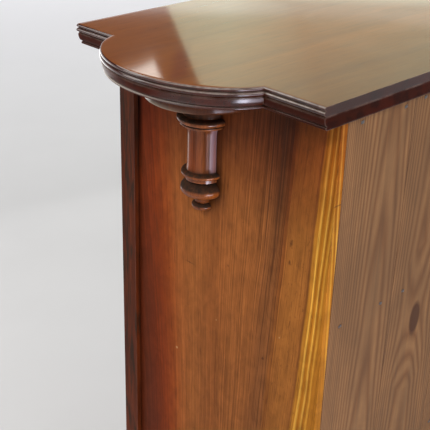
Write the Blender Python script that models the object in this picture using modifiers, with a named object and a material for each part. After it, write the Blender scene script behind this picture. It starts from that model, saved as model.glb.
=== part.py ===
"""Music cabinet: a cupboard with one door and shelves for sheet music, with a lobed, moulded top and
split-turned pendants on its sides. The front faces -Y, and the origin is on the floor under the middle."""

import math

import bmesh
import bpy
from mathutils import Matrix, Vector

# Overall sizes, in metres
HEIGHT = 0.965
CARCASS_WIDTH = 0.450
TOP_DEPTH = 0.360
FIT = 0.0003  # gap between pieces that touch
AXIS_MARK_SIZE = 0.02  # crosses drawn on the joints' axes

# Top, in two moulded layers
TOP_BOARD_THICKNESS = 0.0100
UNDER_BOARD_THICKNESS = 0.0130
SIDE_OVERHANG = 0.0347
FRONT_OVERHANG = 0.0400
BACK_OVERHANG = 0.0060
LOBE_CENTRE_OUT = 0.0101  # centre of a lobe's curve, outside the side board's face
LOBE_REACH = 0.0900  # half axis of the curve, across the cabinet
LOBE_HALF_LENGTH = 0.1168  # half axis of the curve, front to back
LOBE_STEPS = 26
EDGE_STEPS = 5  # steps round one bead of the edge

# Edge mouldings of the two layers; insets are from the outermost line of the edge
UPPER_BEAD_RADIUS = 0.0021
UPPER_BEAD_INSET = 0.0003
BEAD_QUIRK = 0.0003  # height of the groove between the two beads
QUIRK_INSET = 0.0022
TOP_BOARD_FILLET = 0.0007  # height left under the lower bead
FILLET_INSET = 0.00182
FILLET_HEIGHT = 0.00091
OVOLO_INSET = 0.0013
OVOLO_SETBACK = 0.00312
OVOLO_QUIRK_INSET = 0.00494
SMALL_BEAD_RADIUS = 0.001625
SMALL_BEAD_INSET = 0.00364
SMALL_BEAD_QUIRK = 0.00052  # height of the groove over the small bead
UNDERSIDE_FILLET = 0.00026
UNDERSIDE_INSET = 0.00546

# Half-round corbel and split-turned pendant under each lobe; drops are below the top's surface
PENDANT_FROM_FRONT = 0.1345
CORBEL_RADIUS = 0.0653
CORBEL_DROP = 0.0444
CORBEL_ROUNDING = 0.0030
NECK_RADIUS = 0.0237
CAP_RADIUS = 0.0303
CAP_DROP = 0.0687
CAP_BEAD = 0.0037
LOWER_CAP_RADIUS = 0.0270
LOWER_CAP_BEAD = 0.0019
SHAFT_RADIUS = 0.0185
SHAFT_TOP_RADIUS = 0.0212
SHAFT_FOOT_RADIUS = 0.0198
SHAFT_FLARE = 0.0110  # length over which the shaft narrows under the cap
SHAFT_END_DROP = 0.1180
COLLAR_RADIUS = 0.0248
COLLAR_DROP = 0.1310
COLLAR_BEAD = 0.0030
BALL_RADIUS = 0.0255
BALL_DROP = 0.1495
BALL_HALF_HEIGHT = 0.0125
BALL_NECK_RADIUS = 0.0204
BALL_START_DEG = 58
BALL_END_DEG = -54
BALL_STEPS = 8
FINIAL_RADIUS = 0.0127
FINIAL_DROP = 0.1710
FINIAL_HALF_HEIGHT = 0.0062
FINIAL_NECK_RADIUS = 0.0099
FINIAL_START_DEG = 45
FINIAL_STEPS = 6
TURNING_STEPS = 32

# Carcass
SIDE_THICKNESS = 0.0180
STILE_THICKNESS = 0.0244
STILE_WIDTH = 0.0460
STILE_PROUD = 0.0060  # front stile beyond the side board's face
TOP_RAIL_HEIGHT = 0.0360
BOTTOM_RAIL_HEIGHT = 0.0300
RAIL_TENON_LENGTH = 0.0120
RAIL_TENON_THICKNESS = 0.0090
RAIL_TENON_SHOULDER = 0.0060
HOUSING_DEPTH = 0.0050
BOTTOM_BOARD_THICKNESS = 0.0140
SHELF_COUNT = 6
SHELF_THICKNESS = 0.0100
SHELF_SETBACK = 0.0100  # shelf edge behind the face frame
BACK_THICKNESS = 0.0090
BACK_REBATE = 0.0080
BACK_BOARD_COUNT = 4
BATTEN_SECTION = 0.0150
DOOR_STOP_LENGTH = 0.0600
DOOR_STOP_THICKNESS = 0.0100
DOOR_STOP_DROP = 0.0100
DOOR_STOP_RISE = 0.0200

# Plinth
PLINTH_HEIGHT = 0.0850
PLINTH_PROUD = 0.0100  # plinth beyond the front stiles
PLINTH_THICKNESS = 0.0260
PLINTH_REAR_THICKNESS = 0.0200
BASE_MOULDING_HEIGHT = 0.0140
BASE_MOULDING_FILLET = 0.0030
BASE_MOULDING_SETBACK = 0.0010
PLINTH_BLOCK_SECTION = 0.0300
PLINTH_BLOCK_SHORT = 0.0100  # block below the plinth's top edge

# Door
DOOR_GAP = 0.0020
DOOR_STILE_WIDTH = 0.0500
DOOR_TOP_RAIL_HEIGHT = 0.0500
DOOR_BOTTOM_RAIL_HEIGHT = 0.0620
GROOVE_DEPTH = 0.0080
PANEL_THICKNESS = 0.0070
PANEL_PLAY = 0.0010  # room for the panel to move in its grooves
DOOR_MOULDING_WIDTH = 0.0110
DOOR_MOULDING_FILLET = 0.0020
DOOR_MOULDING_STEP = 0.0008  # fillet above the curve
DOOR_MOULDING_LIP = 0.0018

# Butt hinges
HINGE_LENGTH = 0.0500
HINGE_INSET = 0.0900  # hinge's middle from the door's end
LEAF_THICKNESS = 0.0015
LEAF_WIDTH = 0.0160
KNUCKLE_RADIUS = 0.0032
KNUCKLE_STANDOFF = 0.0008  # knuckle in front of the door's face
HINGE_PIN_RADIUS = 0.0014
HINGE_PIN_CLEARANCE = 0.0003
HINGE_PIN_TIP_RADIUS = 0.0026
HINGE_STEPS = 20

# Lock, with its key and the bolt that the key throws
LOCK_HEIGHT_FROM_FLOOR = 0.5500
LOCK_WIDTH = 0.0360
LOCK_HEIGHT = 0.0460
LOCK_DEPTH = 0.0110
LOCK_WALL = 0.0015
KEY_FROM_EDGE = 0.0140
KEY_BELOW_LOCK = 0.0080
KEY_RADIUS = 0.0022
KEY_COLLAR_RADIUS = 0.0036
KEY_COLLAR_LENGTH = 0.0030
KEY_STANDOFF = 0.0180  # bow's inner end from the door's face
KEY_BOW_RADIUS = 0.0090
KEY_BOW_WIRE = 0.0018
KEY_BOW_STEPS = 20
KEY_BOW_WIRE_STEPS = 8
KEY_BIT_REACH = 0.0090
KEY_BIT_THICKNESS = 0.0016
KEY_CLEARANCE = 0.0008
KEY_STEPS = 16
BOLT_ABOVE_KEY = 0.0050
BOLT_LENGTH = 0.0310
BOLT_HEIGHT = 0.0120
BOLT_THICKNESS = 0.0050
BOLT_THROW = 0.0080
BOLT_CLEARANCE = 0.0006
BOLT_NOTCH_START = 0.0050  # notch for the key's bit, inward of the key
BOLT_NOTCH_END = 0.0150
BOLT_NOTCH_DEPTH = 0.0047
STRIKE_THICKNESS = 0.0015
STRIKE_LENGTH = 0.0360
STRIKE_WIDTH = 0.0140
ESCUTCHEON_THICKNESS = 0.0015
ESCUTCHEON_HALF_WIDTH = 0.0100
ESCUTCHEON_HALF_HEIGHT = 0.0170
ESCUTCHEON_STEPS = 24

# Knob on the door
KNOB_ABOVE_LOCK = 0.0850
KNOB_RADIUS = 0.0125
KNOB_NECK_RADIUS = 0.0052
KNOB_ROSE_RADIUS = 0.0095
KNOB_ROSE_THICKNESS = 0.0030
KNOB_PROJECTION = 0.0310
KNOB_SPIGOT_RADIUS = 0.0040
KNOB_SPIGOT_LENGTH = 0.0100
KNOB_BALL_END_DEG = -55
KNOB_STEPS = 8

# Places worked out from the sizes
SIDE_FACE = CARCASS_WIDTH / 2
SIDE_INNER = SIDE_FACE - SIDE_THICKNESS
TOP_FRONT = -TOP_DEPTH / 2
TOP_BACK = TOP_DEPTH / 2
FRONT_FACE = TOP_FRONT + FRONT_OVERHANG
FRAME_BACK = FRONT_FACE + STILE_THICKNESS
CARCASS_BACK = TOP_BACK - BACK_OVERHANG
BACK_FACE = CARCASS_BACK - BACK_THICKNESS
PENDANT_Y = FRONT_FACE + PENDANT_FROM_FRONT
UNDER_BOARD_TOP = HEIGHT - TOP_BOARD_THICKNESS - FIT
CARCASS_TOP = UNDER_BOARD_TOP - UNDER_BOARD_THICKNESS - FIT
CARCASS_FOOT = PLINTH_HEIGHT + FIT
STILE_OUTER = SIDE_FACE + STILE_PROUD
OPENING_HALF = STILE_OUTER - STILE_WIDTH
OPENING_BOTTOM = CARCASS_FOOT + BOTTOM_RAIL_HEIGHT
OPENING_TOP = CARCASS_TOP - TOP_RAIL_HEIGHT
SHELF_FRONT = FRAME_BACK + SHELF_SETBACK
SHELF_PITCH = (CARCASS_TOP - OPENING_BOTTOM + SHELF_THICKNESS) / (SHELF_COUNT + 1)
PLINTH_OUTER = STILE_OUTER + PLINTH_PROUD
PLINTH_FRONT = FRONT_FACE - PLINTH_PROUD
PLINTH_INNER = PLINTH_OUTER - PLINTH_THICKNESS
PLINTH_FRONT_INNER = PLINTH_FRONT + PLINTH_THICKNESS
MITRE_EASE = 0.75 * FIT  # each mitred end drawn back
DOOR_EDGE = OPENING_HALF - DOOR_GAP
DOOR_BOTTOM = OPENING_BOTTOM + DOOR_GAP
DOOR_TOP = OPENING_TOP - DOOR_GAP
DOOR_INNER = DOOR_EDGE - DOOR_STILE_WIDTH
DOOR_PANEL_BOTTOM = DOOR_BOTTOM + DOOR_BOTTOM_RAIL_HEIGHT
DOOR_PANEL_TOP = DOOR_TOP - DOOR_TOP_RAIL_HEIGHT
DOOR_MIDDLE = (FRONT_FACE + FRAME_BACK) / 2
PANEL_FRONT = DOOR_MIDDLE - PANEL_THICKNESS / 2
HINGE_X = OPENING_HALF - DOOR_GAP / 2
HINGE_Y = FRONT_FACE - KNUCKLE_STANDOFF - KNUCKLE_RADIUS
HINGE_HEIGHTS = {"lower": DOOR_BOTTOM + HINGE_INSET, "upper": DOOR_TOP - HINGE_INSET}
LOCK_EDGE = -DOOR_EDGE
LOCK_INNER = LOCK_EDGE + LOCK_WIDTH
LOCK_FRONT = FRAME_BACK - LOCK_DEPTH
LOCK_MIDDLE_Y = FRAME_BACK - LOCK_DEPTH / 2
KEY_X = LOCK_EDGE + KEY_FROM_EDGE
KEY_Z = LOCK_HEIGHT_FROM_FLOOR - KEY_BELOW_LOCK
BOLT_BOTTOM = KEY_Z + BOLT_ABOVE_KEY
BOLT_TOP = BOLT_BOTTOM + BOLT_HEIGHT
BOLT_END = LOCK_EDGE + FIT
SIDES = {"left": -1, "right": 1}

# Colour, roughness and metallic value of each material
MATERIALS = {
    "dark_mahogany": ((0.085, 0.026, 0.014, 1.0), 0.22, 0.0),
    "striped_mahogany": ((0.230, 0.080, 0.030, 1.0), 0.30, 0.0),
    "shelf_wood": ((0.250, 0.120, 0.055, 1.0), 0.50, 0.0),
    "back_pine": ((0.300, 0.180, 0.090, 1.0), 0.65, 0.0),
    "brass": ((0.720, 0.500, 0.200, 1.0), 0.28, 1.0),
    "iron": ((0.160, 0.150, 0.145, 1.0), 0.42, 1.0),
}


def clear_scene():
    for obj in list(bpy.data.objects):
        bpy.data.objects.remove(obj, do_unlink=True)


def collection(name, drawn=True):
    made = bpy.data.collections.new(name)
    made.hide_render = not drawn
    bpy.context.scene.collection.children.link(made)
    return made


def material(name):
    colour, roughness, metallic = MATERIALS[name]
    made = bpy.data.materials.new(name)
    made.use_nodes = True
    shader = made.node_tree.nodes["Principled BSDF"]
    shader.inputs["Base Color"].default_value = colour
    shader.inputs["Roughness"].default_value = roughness
    shader.inputs["Metallic"].default_value = metallic
    return made


clear_scene()
PARTS = collection("music_cabinet")
CUTTERS = collection("cutters", drawn=False)
PALETTE = {name: material(name) for name in MATERIALS}


def finish(name, bm, kind, at=(0, 0, 0)):
    """Turns a bmesh into a part of this material, or into a hidden tool where the material is None."""
    bmesh.ops.recalc_face_normals(bm, faces=bm.faces)
    mesh = bpy.data.meshes.new(name)
    bm.to_mesh(mesh)
    bm.free()
    obj = bpy.data.objects.new(name, mesh)
    obj.location = at
    if kind:
        mesh.materials.append(PALETTE[kind])
        PARTS.objects.link(obj)
    else:
        obj.hide_render = True
        obj.display_type = "WIRE"
        CUTTERS.objects.link(obj)
    return obj


def box(name, x, y, z, kind=None):
    """A board from its low and high ends along each axis, with its origin at its middle."""
    ends = [(min(pair), max(pair)) for pair in (x, y, z)]
    bm = bmesh.new()
    size = Matrix.Diagonal([high - low for low, high in ends] + [1.0])
    bmesh.ops.create_cube(bm, size=1.0, matrix=size)
    return finish(name, bm, kind, [(low + high) / 2 for low, high in ends])


def rod(name, radius, start, end, steps, kind=None):
    """A round bar between two points."""
    start, end = Vector(start), Vector(end)
    bm = bmesh.new()
    turn = (end - start).to_track_quat("Z", "Y").to_matrix().to_4x4()
    bmesh.ops.create_cone(
        bm, cap_ends=True, segments=steps, radius1=radius, radius2=radius,
        depth=(end - start).length, matrix=turn,
    )
    obj = finish(name, bm, kind, (start + end) / 2)
    smooth(obj)
    return obj


def smooth(obj):
    obj.data.shade_smooth()
    obj.data.set_sharp_from_angle(angle=math.radians(35))


def boolean(obj, other, operation):
    modifier = obj.modifiers.new(f"{operation.lower()}_{other.name}", "BOOLEAN")
    modifier.operation = operation
    modifier.solver = "EXACT"
    modifier.object = other


def cut(obj, *tools):
    for tool in tools:
        boolean(obj, tool, "DIFFERENCE")


def join(obj, *others):
    for other in others:
        boolean(obj, other, "UNION")


def prism(name, outline, bottom, top, kind):
    """A flat outline, drawn as a filled 2D curve and extruded between two heights, as a welded mesh."""
    curve = bpy.data.curves.new(name, "CURVE")
    curve.dimensions = "2D"
    curve.fill_mode = "BOTH"
    curve.extrude = (top - bottom) / 2
    spline = curve.splines.new("POLY")
    spline.points.add(len(outline) - 1)
    for point, (x, y) in zip(spline.points, outline):
        point.co = (x, y, 0.0, 1.0)
    spline.use_cyclic_u = True
    drawn = bpy.data.objects.new(f"{name}_outline", curve)
    PARTS.objects.link(drawn)
    graph = bpy.context.evaluated_depsgraph_get()
    mesh = bpy.data.meshes.new_from_object(drawn.evaluated_get(graph))
    bpy.data.objects.remove(drawn, do_unlink=True)
    bm = bmesh.new()
    bm.from_mesh(mesh)
    bpy.data.meshes.remove(mesh)
    bmesh.ops.remove_doubles(bm, verts=bm.verts, dist=0.00001)
    return finish(name, bm, kind, (0, 0, (top + bottom) / 2))


def loft(name, rings, kind):
    """A solid through closed rings of equally many points, capped at both ends."""
    bm = bmesh.new()
    loops = [[bm.verts.new(point) for point in ring] for ring in rings]
    bm.faces.new(loops[0])
    bm.faces.new(loops[-1])
    count = len(loops[0])
    for lower, upper in zip(loops, loops[1:]):
        for i in range(count):
            j = (i + 1) % count
            bm.faces.new((lower[i], lower[j], upper[j], upper[i]))
    return finish(name, bm, kind)


def mitred_strip(name, profile, start, end, inward, outward, mitres, kind):
    """A moulding between its two outer corners. Profile points are (inward, outward) from the outer line,
    and a mitred end slants back by as much as it goes inward."""
    start, end = Vector(start), Vector(end)
    along = (end - start).normalized()
    inward, outward = Vector(inward), Vector(outward)
    rings = []
    for corner, way, mitred in ((start, along, mitres[0]), (end, -along, mitres[1])):
        rings.append([
            corner + inward * u + outward * v + way * (u + MITRE_EASE if mitred else 0.0)
            for u, v in profile
        ])
    return loft(name, rings, kind)


def sweep(start_deg, end_deg, steps):
    """Evenly spaced angles, in radians, from one angle to another."""
    return [math.radians(start_deg + (end_deg - start_deg) * i / steps) for i in range(steps + 1)]


def bead(radius, height, size, steps=4):
    """Half-round of a turned profile, top to bottom, whose widest radius is given."""
    return [
        (radius - size + size * math.cos(a), height + size * math.sin(a)) for a in sweep(90, -90, steps)
    ]


def hollow(start, end, steps=4):
    """Concave quarter curve that leaves level and ends upright."""
    (r0, z0), (r1, z1) = start, end
    return [
        (r1 + (r0 - r1) * (1 - math.sin(a)), z0 + (z1 - z0) * (1 - math.cos(a)))
        for a in sweep(0, 90, steps)
    ]


def turned(name, profile, steps, kind):
    """A profile of (radius, height) points, top to bottom, turned about a vertical axis."""
    bm = bmesh.new()
    points = [bm.verts.new((radius, 0.0, height)) for radius, height in profile]
    for upper, lower in zip(points, points[1:]):
        bm.edges.new((upper, lower))
    obj = finish(name, bm, kind)
    screw = obj.modifiers.new("turning", "SCREW")
    screw.axis = "Z"
    screw.steps = steps
    screw.render_steps = steps
    screw.use_merge_vertices = True
    screw.merge_threshold = 0.00001
    screw.use_smooth_shade = True
    return obj


def edge_outline(inset):
    """Outline of the top drawn in by the inset on the front, sides and lobes, but not at the back."""
    side = SIDE_FACE + SIDE_OVERHANG - inset
    front = TOP_FRONT + inset
    reach = LOBE_REACH - inset
    half_length = LOBE_HALF_LENGTH - inset
    corner = math.acos((SIDE_OVERHANG - inset - LOBE_CENTRE_OUT) / reach)
    angles = [corner * (2 * i / LOBE_STEPS - 1) for i in range(LOBE_STEPS + 1)]
    lobe = [
        (SIDE_FACE + LOBE_CENTRE_OUT + reach * math.cos(a), PENDANT_Y + half_length * math.sin(a))
        for a in angles
    ]
    mirrored = [(-x, y) for x, y in reversed(lobe)]
    return [(-side, front), (side, front), *lobe, (side, TOP_BACK), (-side, TOP_BACK), *mirrored]


def edge_bead(outermost, middle, radius, start_deg=0, end_deg=180):
    """Half-round of the edge, top to bottom, as (inset, drop) points."""
    return [
        (outermost + radius * (1 - math.sin(a)), middle - radius * math.cos(a))
        for a in sweep(start_deg, end_deg, EDGE_STEPS)
    ]


def moulded_board(name, edge, top):
    """A lobed board whose edge follows (inset, drop) points, top to bottom."""
    rings = [[(x, y, top - drop) for x, y in edge_outline(inset)] for inset, drop in reversed(edge)]
    return loft(name, rings, "dark_mahogany")


def top_boards():
    """Top in two layers: two beads on the upper edge, a broad ovolo and a small bead on the lower one."""
    quirk_top = 2 * UPPER_BEAD_RADIUS
    lower_bead = (TOP_BOARD_THICKNESS - quirk_top - BEAD_QUIRK - TOP_BOARD_FILLET) / 2
    lower_middle = TOP_BOARD_THICKNESS - TOP_BOARD_FILLET - lower_bead
    upper = [
        *edge_bead(UPPER_BEAD_INSET, UPPER_BEAD_RADIUS, UPPER_BEAD_RADIUS, 0, 160),
        (QUIRK_INSET, quirk_top),
        *edge_bead(0.0, lower_middle, lower_bead, 15, 165),
        (QUIRK_INSET, TOP_BOARD_THICKNESS),
    ]
    small_middle = UNDER_BOARD_THICKNESS - UNDERSIDE_FILLET - SMALL_BEAD_RADIUS
    ovolo_end = small_middle - SMALL_BEAD_RADIUS - SMALL_BEAD_QUIRK
    ovolo_height = ovolo_end - FILLET_HEIGHT
    ovolo = [
        (OVOLO_INSET + OVOLO_SETBACK * (1 - math.cos(a)), FILLET_HEIGHT + ovolo_height * math.sin(a))
        for a in sweep(0, 90, EDGE_STEPS)
    ]
    under = [
        (FILLET_INSET, 0.0),
        (FILLET_INSET, FILLET_HEIGHT),
        *ovolo,
        (OVOLO_QUIRK_INSET, ovolo_end),
        *edge_bead(SMALL_BEAD_INSET, small_middle, SMALL_BEAD_RADIUS, 15, 165),
        (UNDERSIDE_INSET, UNDER_BOARD_THICKNESS),
    ]
    moulded_board("top_board", upper, HEIGHT)
    moulded_board("top_under_board", under, UNDER_BOARD_TOP)


def split(obj, name, sign):
    """Sets a turning on the pendant's axis and saws away the half that would lie in the side board."""
    obj.location.x = sign * SIDE_FACE
    obj.location.y = PENDANT_Y
    far = SIDE_FACE - 2 * CORBEL_RADIUS
    waste = box(
        f"{name}_split",
        (sign * far, sign * (SIDE_FACE + FIT)),
        (PENDANT_Y - 2 * CORBEL_RADIUS, PENDANT_Y + 2 * CORBEL_RADIUS),
        (0.5 * HEIGHT, 1.1 * HEIGHT),
    )
    cut(obj, waste)


def corbel_profile():
    foot = HEIGHT - CORBEL_DROP
    r = CORBEL_ROUNDING
    rounding = [
        (CORBEL_RADIUS - r + r * math.cos(a), foot + r + r * math.sin(a))
        for a in sweep(0, -90, EDGE_STEPS)
    ]
    return [(0.0, CARCASS_TOP), (CORBEL_RADIUS, CARCASS_TOP), *rounding, (0.0, foot)]


def pendant_profile():
    """Neck, cap of two beads, slender shaft, collar, ball and button, from the corbel down."""
    cap_top = HEIGHT - CAP_DROP + CAP_BEAD
    lower_cap = HEIGHT - CAP_DROP - CAP_BEAD - LOWER_CAP_BEAD
    shaft_start = lower_cap - LOWER_CAP_BEAD
    shaft_end = HEIGHT - SHAFT_END_DROP
    collar = HEIGHT - COLLAR_DROP
    collar_top = collar + COLLAR_BEAD
    ball = HEIGHT - BALL_DROP
    finial = HEIGHT - FINIAL_DROP
    top = HEIGHT - CORBEL_DROP - FIT
    shaft_curve = hollow(
        (SHAFT_TOP_RADIUS, shaft_start - FIT),
        (SHAFT_RADIUS, shaft_start - SHAFT_FLARE),
    )
    flare = [
        (SHAFT_RADIUS + (SHAFT_FOOT_RADIUS - SHAFT_RADIUS) * (1 - math.cos(a)),
         shaft_end + (collar_top - shaft_end) * math.sin(a))
        for a in sweep(0, 90, EDGE_STEPS)[:-1]
    ]
    ball_curve = [
        (BALL_RADIUS * math.cos(a), ball + BALL_HALF_HEIGHT * math.sin(a))
        for a in sweep(BALL_START_DEG, BALL_END_DEG, BALL_STEPS)
    ]
    button = [
        (FINIAL_RADIUS * math.cos(a), finial + FINIAL_HALF_HEIGHT * math.sin(a))
        for a in sweep(FINIAL_START_DEG, -90, FINIAL_STEPS)[:-1]
    ]
    button_neck = (ball_curve[-1][1] + button[0][1]) / 2
    return [
        (0.0, top),
        (NECK_RADIUS, top),
        (NECK_RADIUS, cap_top + FIT),
        *bead(CAP_RADIUS, HEIGHT - CAP_DROP, CAP_BEAD),
        *bead(LOWER_CAP_RADIUS, lower_cap, LOWER_CAP_BEAD)[1:],
        *shaft_curve,
        *flare,
        *bead(COLLAR_RADIUS, collar, COLLAR_BEAD),
        (BALL_NECK_RADIUS, collar - COLLAR_BEAD - 2 * FIT),
        (BALL_NECK_RADIUS, ball_curve[0][1] + 2 * FIT),
        *ball_curve[1:],
        (FINIAL_NECK_RADIUS, button_neck),
        *button,
        (0.0, finial - FINIAL_HALF_HEIGHT),
    ]


def lobe_supports():
    for side, sign in SIDES.items():
        corbel = turned(f"corbel_{side}", corbel_profile(), 2 * TURNING_STEPS, "dark_mahogany")
        split(corbel, f"corbel_{side}", sign)
        pendant = turned(f"pendant_{side}", pendant_profile(), TURNING_STEPS, "dark_mahogany")
        split(pendant, f"pendant_{side}", sign)


def shelf_levels():
    """Underside of each shelf, from the lowest up."""
    return [OPENING_BOTTOM - SHELF_THICKNESS + SHELF_PITCH * (i + 1) for i in range(SHELF_COUNT)]


def housed_boards():
    """Front edge, bottom and top of each board that is housed in the sides."""
    bottom_board = (FRAME_BACK + FIT, OPENING_BOTTOM - BOTTOM_BOARD_THICKNESS, OPENING_BOTTOM)
    shelves = [(SHELF_FRONT, level, level + SHELF_THICKNESS) for level in shelf_levels()]
    return [bottom_board, *shelves]


def side_boards():
    """Upright sides, with housings for the shelves and a rebate for the back."""
    for side, sign in SIDES.items():
        board = box(
            f"side_board_{side}",
            (sign * SIDE_INNER, sign * SIDE_FACE),
            (FRAME_BACK + FIT, CARCASS_BACK),
            (CARCASS_FOOT, CARCASS_TOP),
            "striped_mahogany",
        )
        inside = SIDE_INNER - HOUSING_DEPTH
        rebate = box(
            f"back_rebate_{side}",
            (sign * inside, sign * (SIDE_INNER + BACK_REBATE)),
            (BACK_FACE - FIT, CARCASS_BACK + BACK_THICKNESS),
            (0.0, HEIGHT),
        )
        cut(board, rebate)
        for number, (front, bottom, top) in enumerate(housed_boards()):
            housing = box(
                f"housing_{side}_{number}",
                (sign * inside, sign * (SIDE_INNER + HOUSING_DEPTH)),
                (front - 2 * FIT, BACK_FACE + BACK_THICKNESS / 2),
                (bottom - FIT, top + FIT),
            )
            cut(board, housing)


def shelves_and_bottom():
    names = ["bottom_board"] + [f"shelf_{i + 1}" for i in range(SHELF_COUNT)]
    half = SIDE_INNER + HOUSING_DEPTH - FIT
    for name, (front, bottom, top) in zip(names, housed_boards()):
        box(name, (-half, half), (front, BACK_FACE - 2 * FIT), (bottom, top), "shelf_wood")


def back_boards():
    half = SIDE_INNER + BACK_REBATE - FIT
    width = 2 * half / BACK_BOARD_COUNT
    for i in range(BACK_BOARD_COUNT):
        start = -half + width * i
        box(
            f"back_board_{i + 1}",
            (start + FIT / 2, start + width - FIT / 2),
            (BACK_FACE, CARCASS_BACK),
            (CARCASS_FOOT, CARCASS_TOP),
            "back_pine",
        )


def face_frame():
    """Stiles and rails in front of the carcass; the rails are tenoned into the stiles."""
    tenon_y = (DOOR_MIDDLE - RAIL_TENON_THICKNESS / 2, DOOR_MIDDLE + RAIL_TENON_THICKNESS / 2)
    mortise_y = (tenon_y[0] - FIT, tenon_y[1] + FIT)
    levels = {
        "front_top_rail": (OPENING_TOP, CARCASS_TOP),
        "front_bottom_rail": (CARCASS_FOOT, OPENING_BOTTOM),
    }
    tenons = {
        name: (bottom + RAIL_TENON_SHOULDER, top - RAIL_TENON_SHOULDER)
        for name, (bottom, top) in levels.items()
    }
    tip = OPENING_HALF + RAIL_TENON_LENGTH
    for name, height in levels.items():
        shoulder = OPENING_HALF - FIT
        rail = box(name, (-shoulder, shoulder), (FRONT_FACE, FRAME_BACK), height, "dark_mahogany")
        join(rail, box(f"{name}_tenons", (-tip, tip), tenon_y, tenons[name]))
    for side, sign in SIDES.items():
        stile = box(
            f"front_stile_{side}",
            (sign * OPENING_HALF, sign * STILE_OUTER),
            (FRONT_FACE, FRAME_BACK),
            (CARCASS_FOOT, CARCASS_TOP),
            "dark_mahogany",
        )
        for name, (bottom, top) in tenons.items():
            mortise = box(
                f"{name}_mortise_{side}",
                (sign * (OPENING_HALF - RAIL_TENON_LENGTH), sign * (tip + FIT)),
                mortise_y,
                (bottom - FIT, top + FIT),
            )
            cut(stile, mortise)


def top_battens():
    """Strips inside the carcass that hold the top to the side boards."""
    for side, sign in SIDES.items():
        near = SIDE_INNER - FIT
        box(
            f"top_batten_{side}",
            (sign * (near - BATTEN_SECTION), sign * near),
            (SHELF_FRONT, BACK_FACE - 2 * FIT),
            (CARCASS_TOP - BATTEN_SECTION, CARCASS_TOP),
            "shelf_wood",
        )


def door_stop():
    front = FRAME_BACK + FIT
    half = DOOR_STOP_LENGTH / 2
    box(
        "door_stop",
        (-half, half),
        (front, front + DOOR_STOP_THICKNESS),
        (OPENING_TOP - DOOR_STOP_DROP, OPENING_TOP + DOOR_STOP_RISE),
        "shelf_wood",
    )


def plinth():
    """Four boards under the carcass, mitred at the front, with blocks glued in their corners."""
    outer, inner = PLINTH_OUTER, PLINTH_INNER
    front = [
        (-outer + MITRE_EASE, PLINTH_FRONT),
        (outer - MITRE_EASE, PLINTH_FRONT),
        (inner - MITRE_EASE, PLINTH_FRONT_INNER),
        (-inner + MITRE_EASE, PLINTH_FRONT_INNER),
    ]
    prism("plinth_front", front, 0.0, PLINTH_HEIGHT, "dark_mahogany")
    for side, sign in SIDES.items():
        outline = [
            (sign * outer, PLINTH_FRONT + MITRE_EASE),
            (sign * outer, CARCASS_BACK),
            (sign * inner, CARCASS_BACK),
            (sign * inner, PLINTH_FRONT_INNER + MITRE_EASE),
        ]
        prism(f"plinth_{side}", outline, 0.0, PLINTH_HEIGHT, "dark_mahogany")
    rear_front = CARCASS_BACK - PLINTH_REAR_THICKNESS
    rear_x = (-inner + FIT, inner - FIT)
    box("plinth_rear", rear_x, (rear_front, CARCASS_BACK), (0.0, PLINTH_HEIGHT), "back_pine")
    size = PLINTH_BLOCK_SECTION
    places = {"front": PLINTH_FRONT_INNER + 2 * FIT, "rear": rear_front - FIT - size}
    for end, start in places.items():
        for side, sign in SIDES.items():
            near = inner - FIT
            box(
                f"plinth_block_{end}_{side}",
                (sign * (near - size), sign * near),
                (start, start + size),
                (PLINTH_BLOCK_SHORT, PLINTH_HEIGHT),
                "back_pine",
            )


def base_profile(width):
    """Fillet and cove that lead from the plinth up to the carcass, inward from the plinth's face."""
    lip = BASE_MOULDING_SETBACK
    cove = PLINTH_PROUD - 2 * lip
    rise = BASE_MOULDING_HEIGHT - BASE_MOULDING_FILLET - lip
    curve = [
        (lip + cove * math.sin(a), BASE_MOULDING_FILLET + rise * (1 - math.cos(a)))
        for a in sweep(0, 90, EDGE_STEPS)
    ]
    top = BASE_MOULDING_HEIGHT
    return [(lip, 0.0), *curve, (lip + cove, top), (width, top), (width, 0.0)]


def base_mouldings():
    """Mitred moulding on the plinth's ledge; the side lengths are notched over the proud stiles."""
    level = PLINTH_HEIGHT + FIT
    corner = {sign: (sign * PLINTH_OUTER, PLINTH_FRONT, level) for sign in SIDES.values()}
    up = (0, 0, 1)
    mitred_strip(
        "base_moulding_front", base_profile(PLINTH_PROUD - FIT), corner[-1], corner[1],
        (0, 1, 0), up, (True, True), "dark_mahogany",
    )
    for side, sign in SIDES.items():
        strip = mitred_strip(
            f"base_moulding_{side}", base_profile(PLINTH_PROUD + STILE_PROUD - FIT), corner[sign],
            (sign * PLINTH_OUTER, CARCASS_BACK, level), (-sign, 0, 0), up, (True, False), "dark_mahogany",
        )
        notch = box(
            f"stile_notch_{side}",
            (sign * OPENING_HALF, sign * (STILE_OUTER + FIT)),
            (PLINTH_FRONT, FRAME_BACK + FIT),
            (0.0, level + 2 * BASE_MOULDING_HEIGHT),
        )
        cut(strip, notch)


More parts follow.
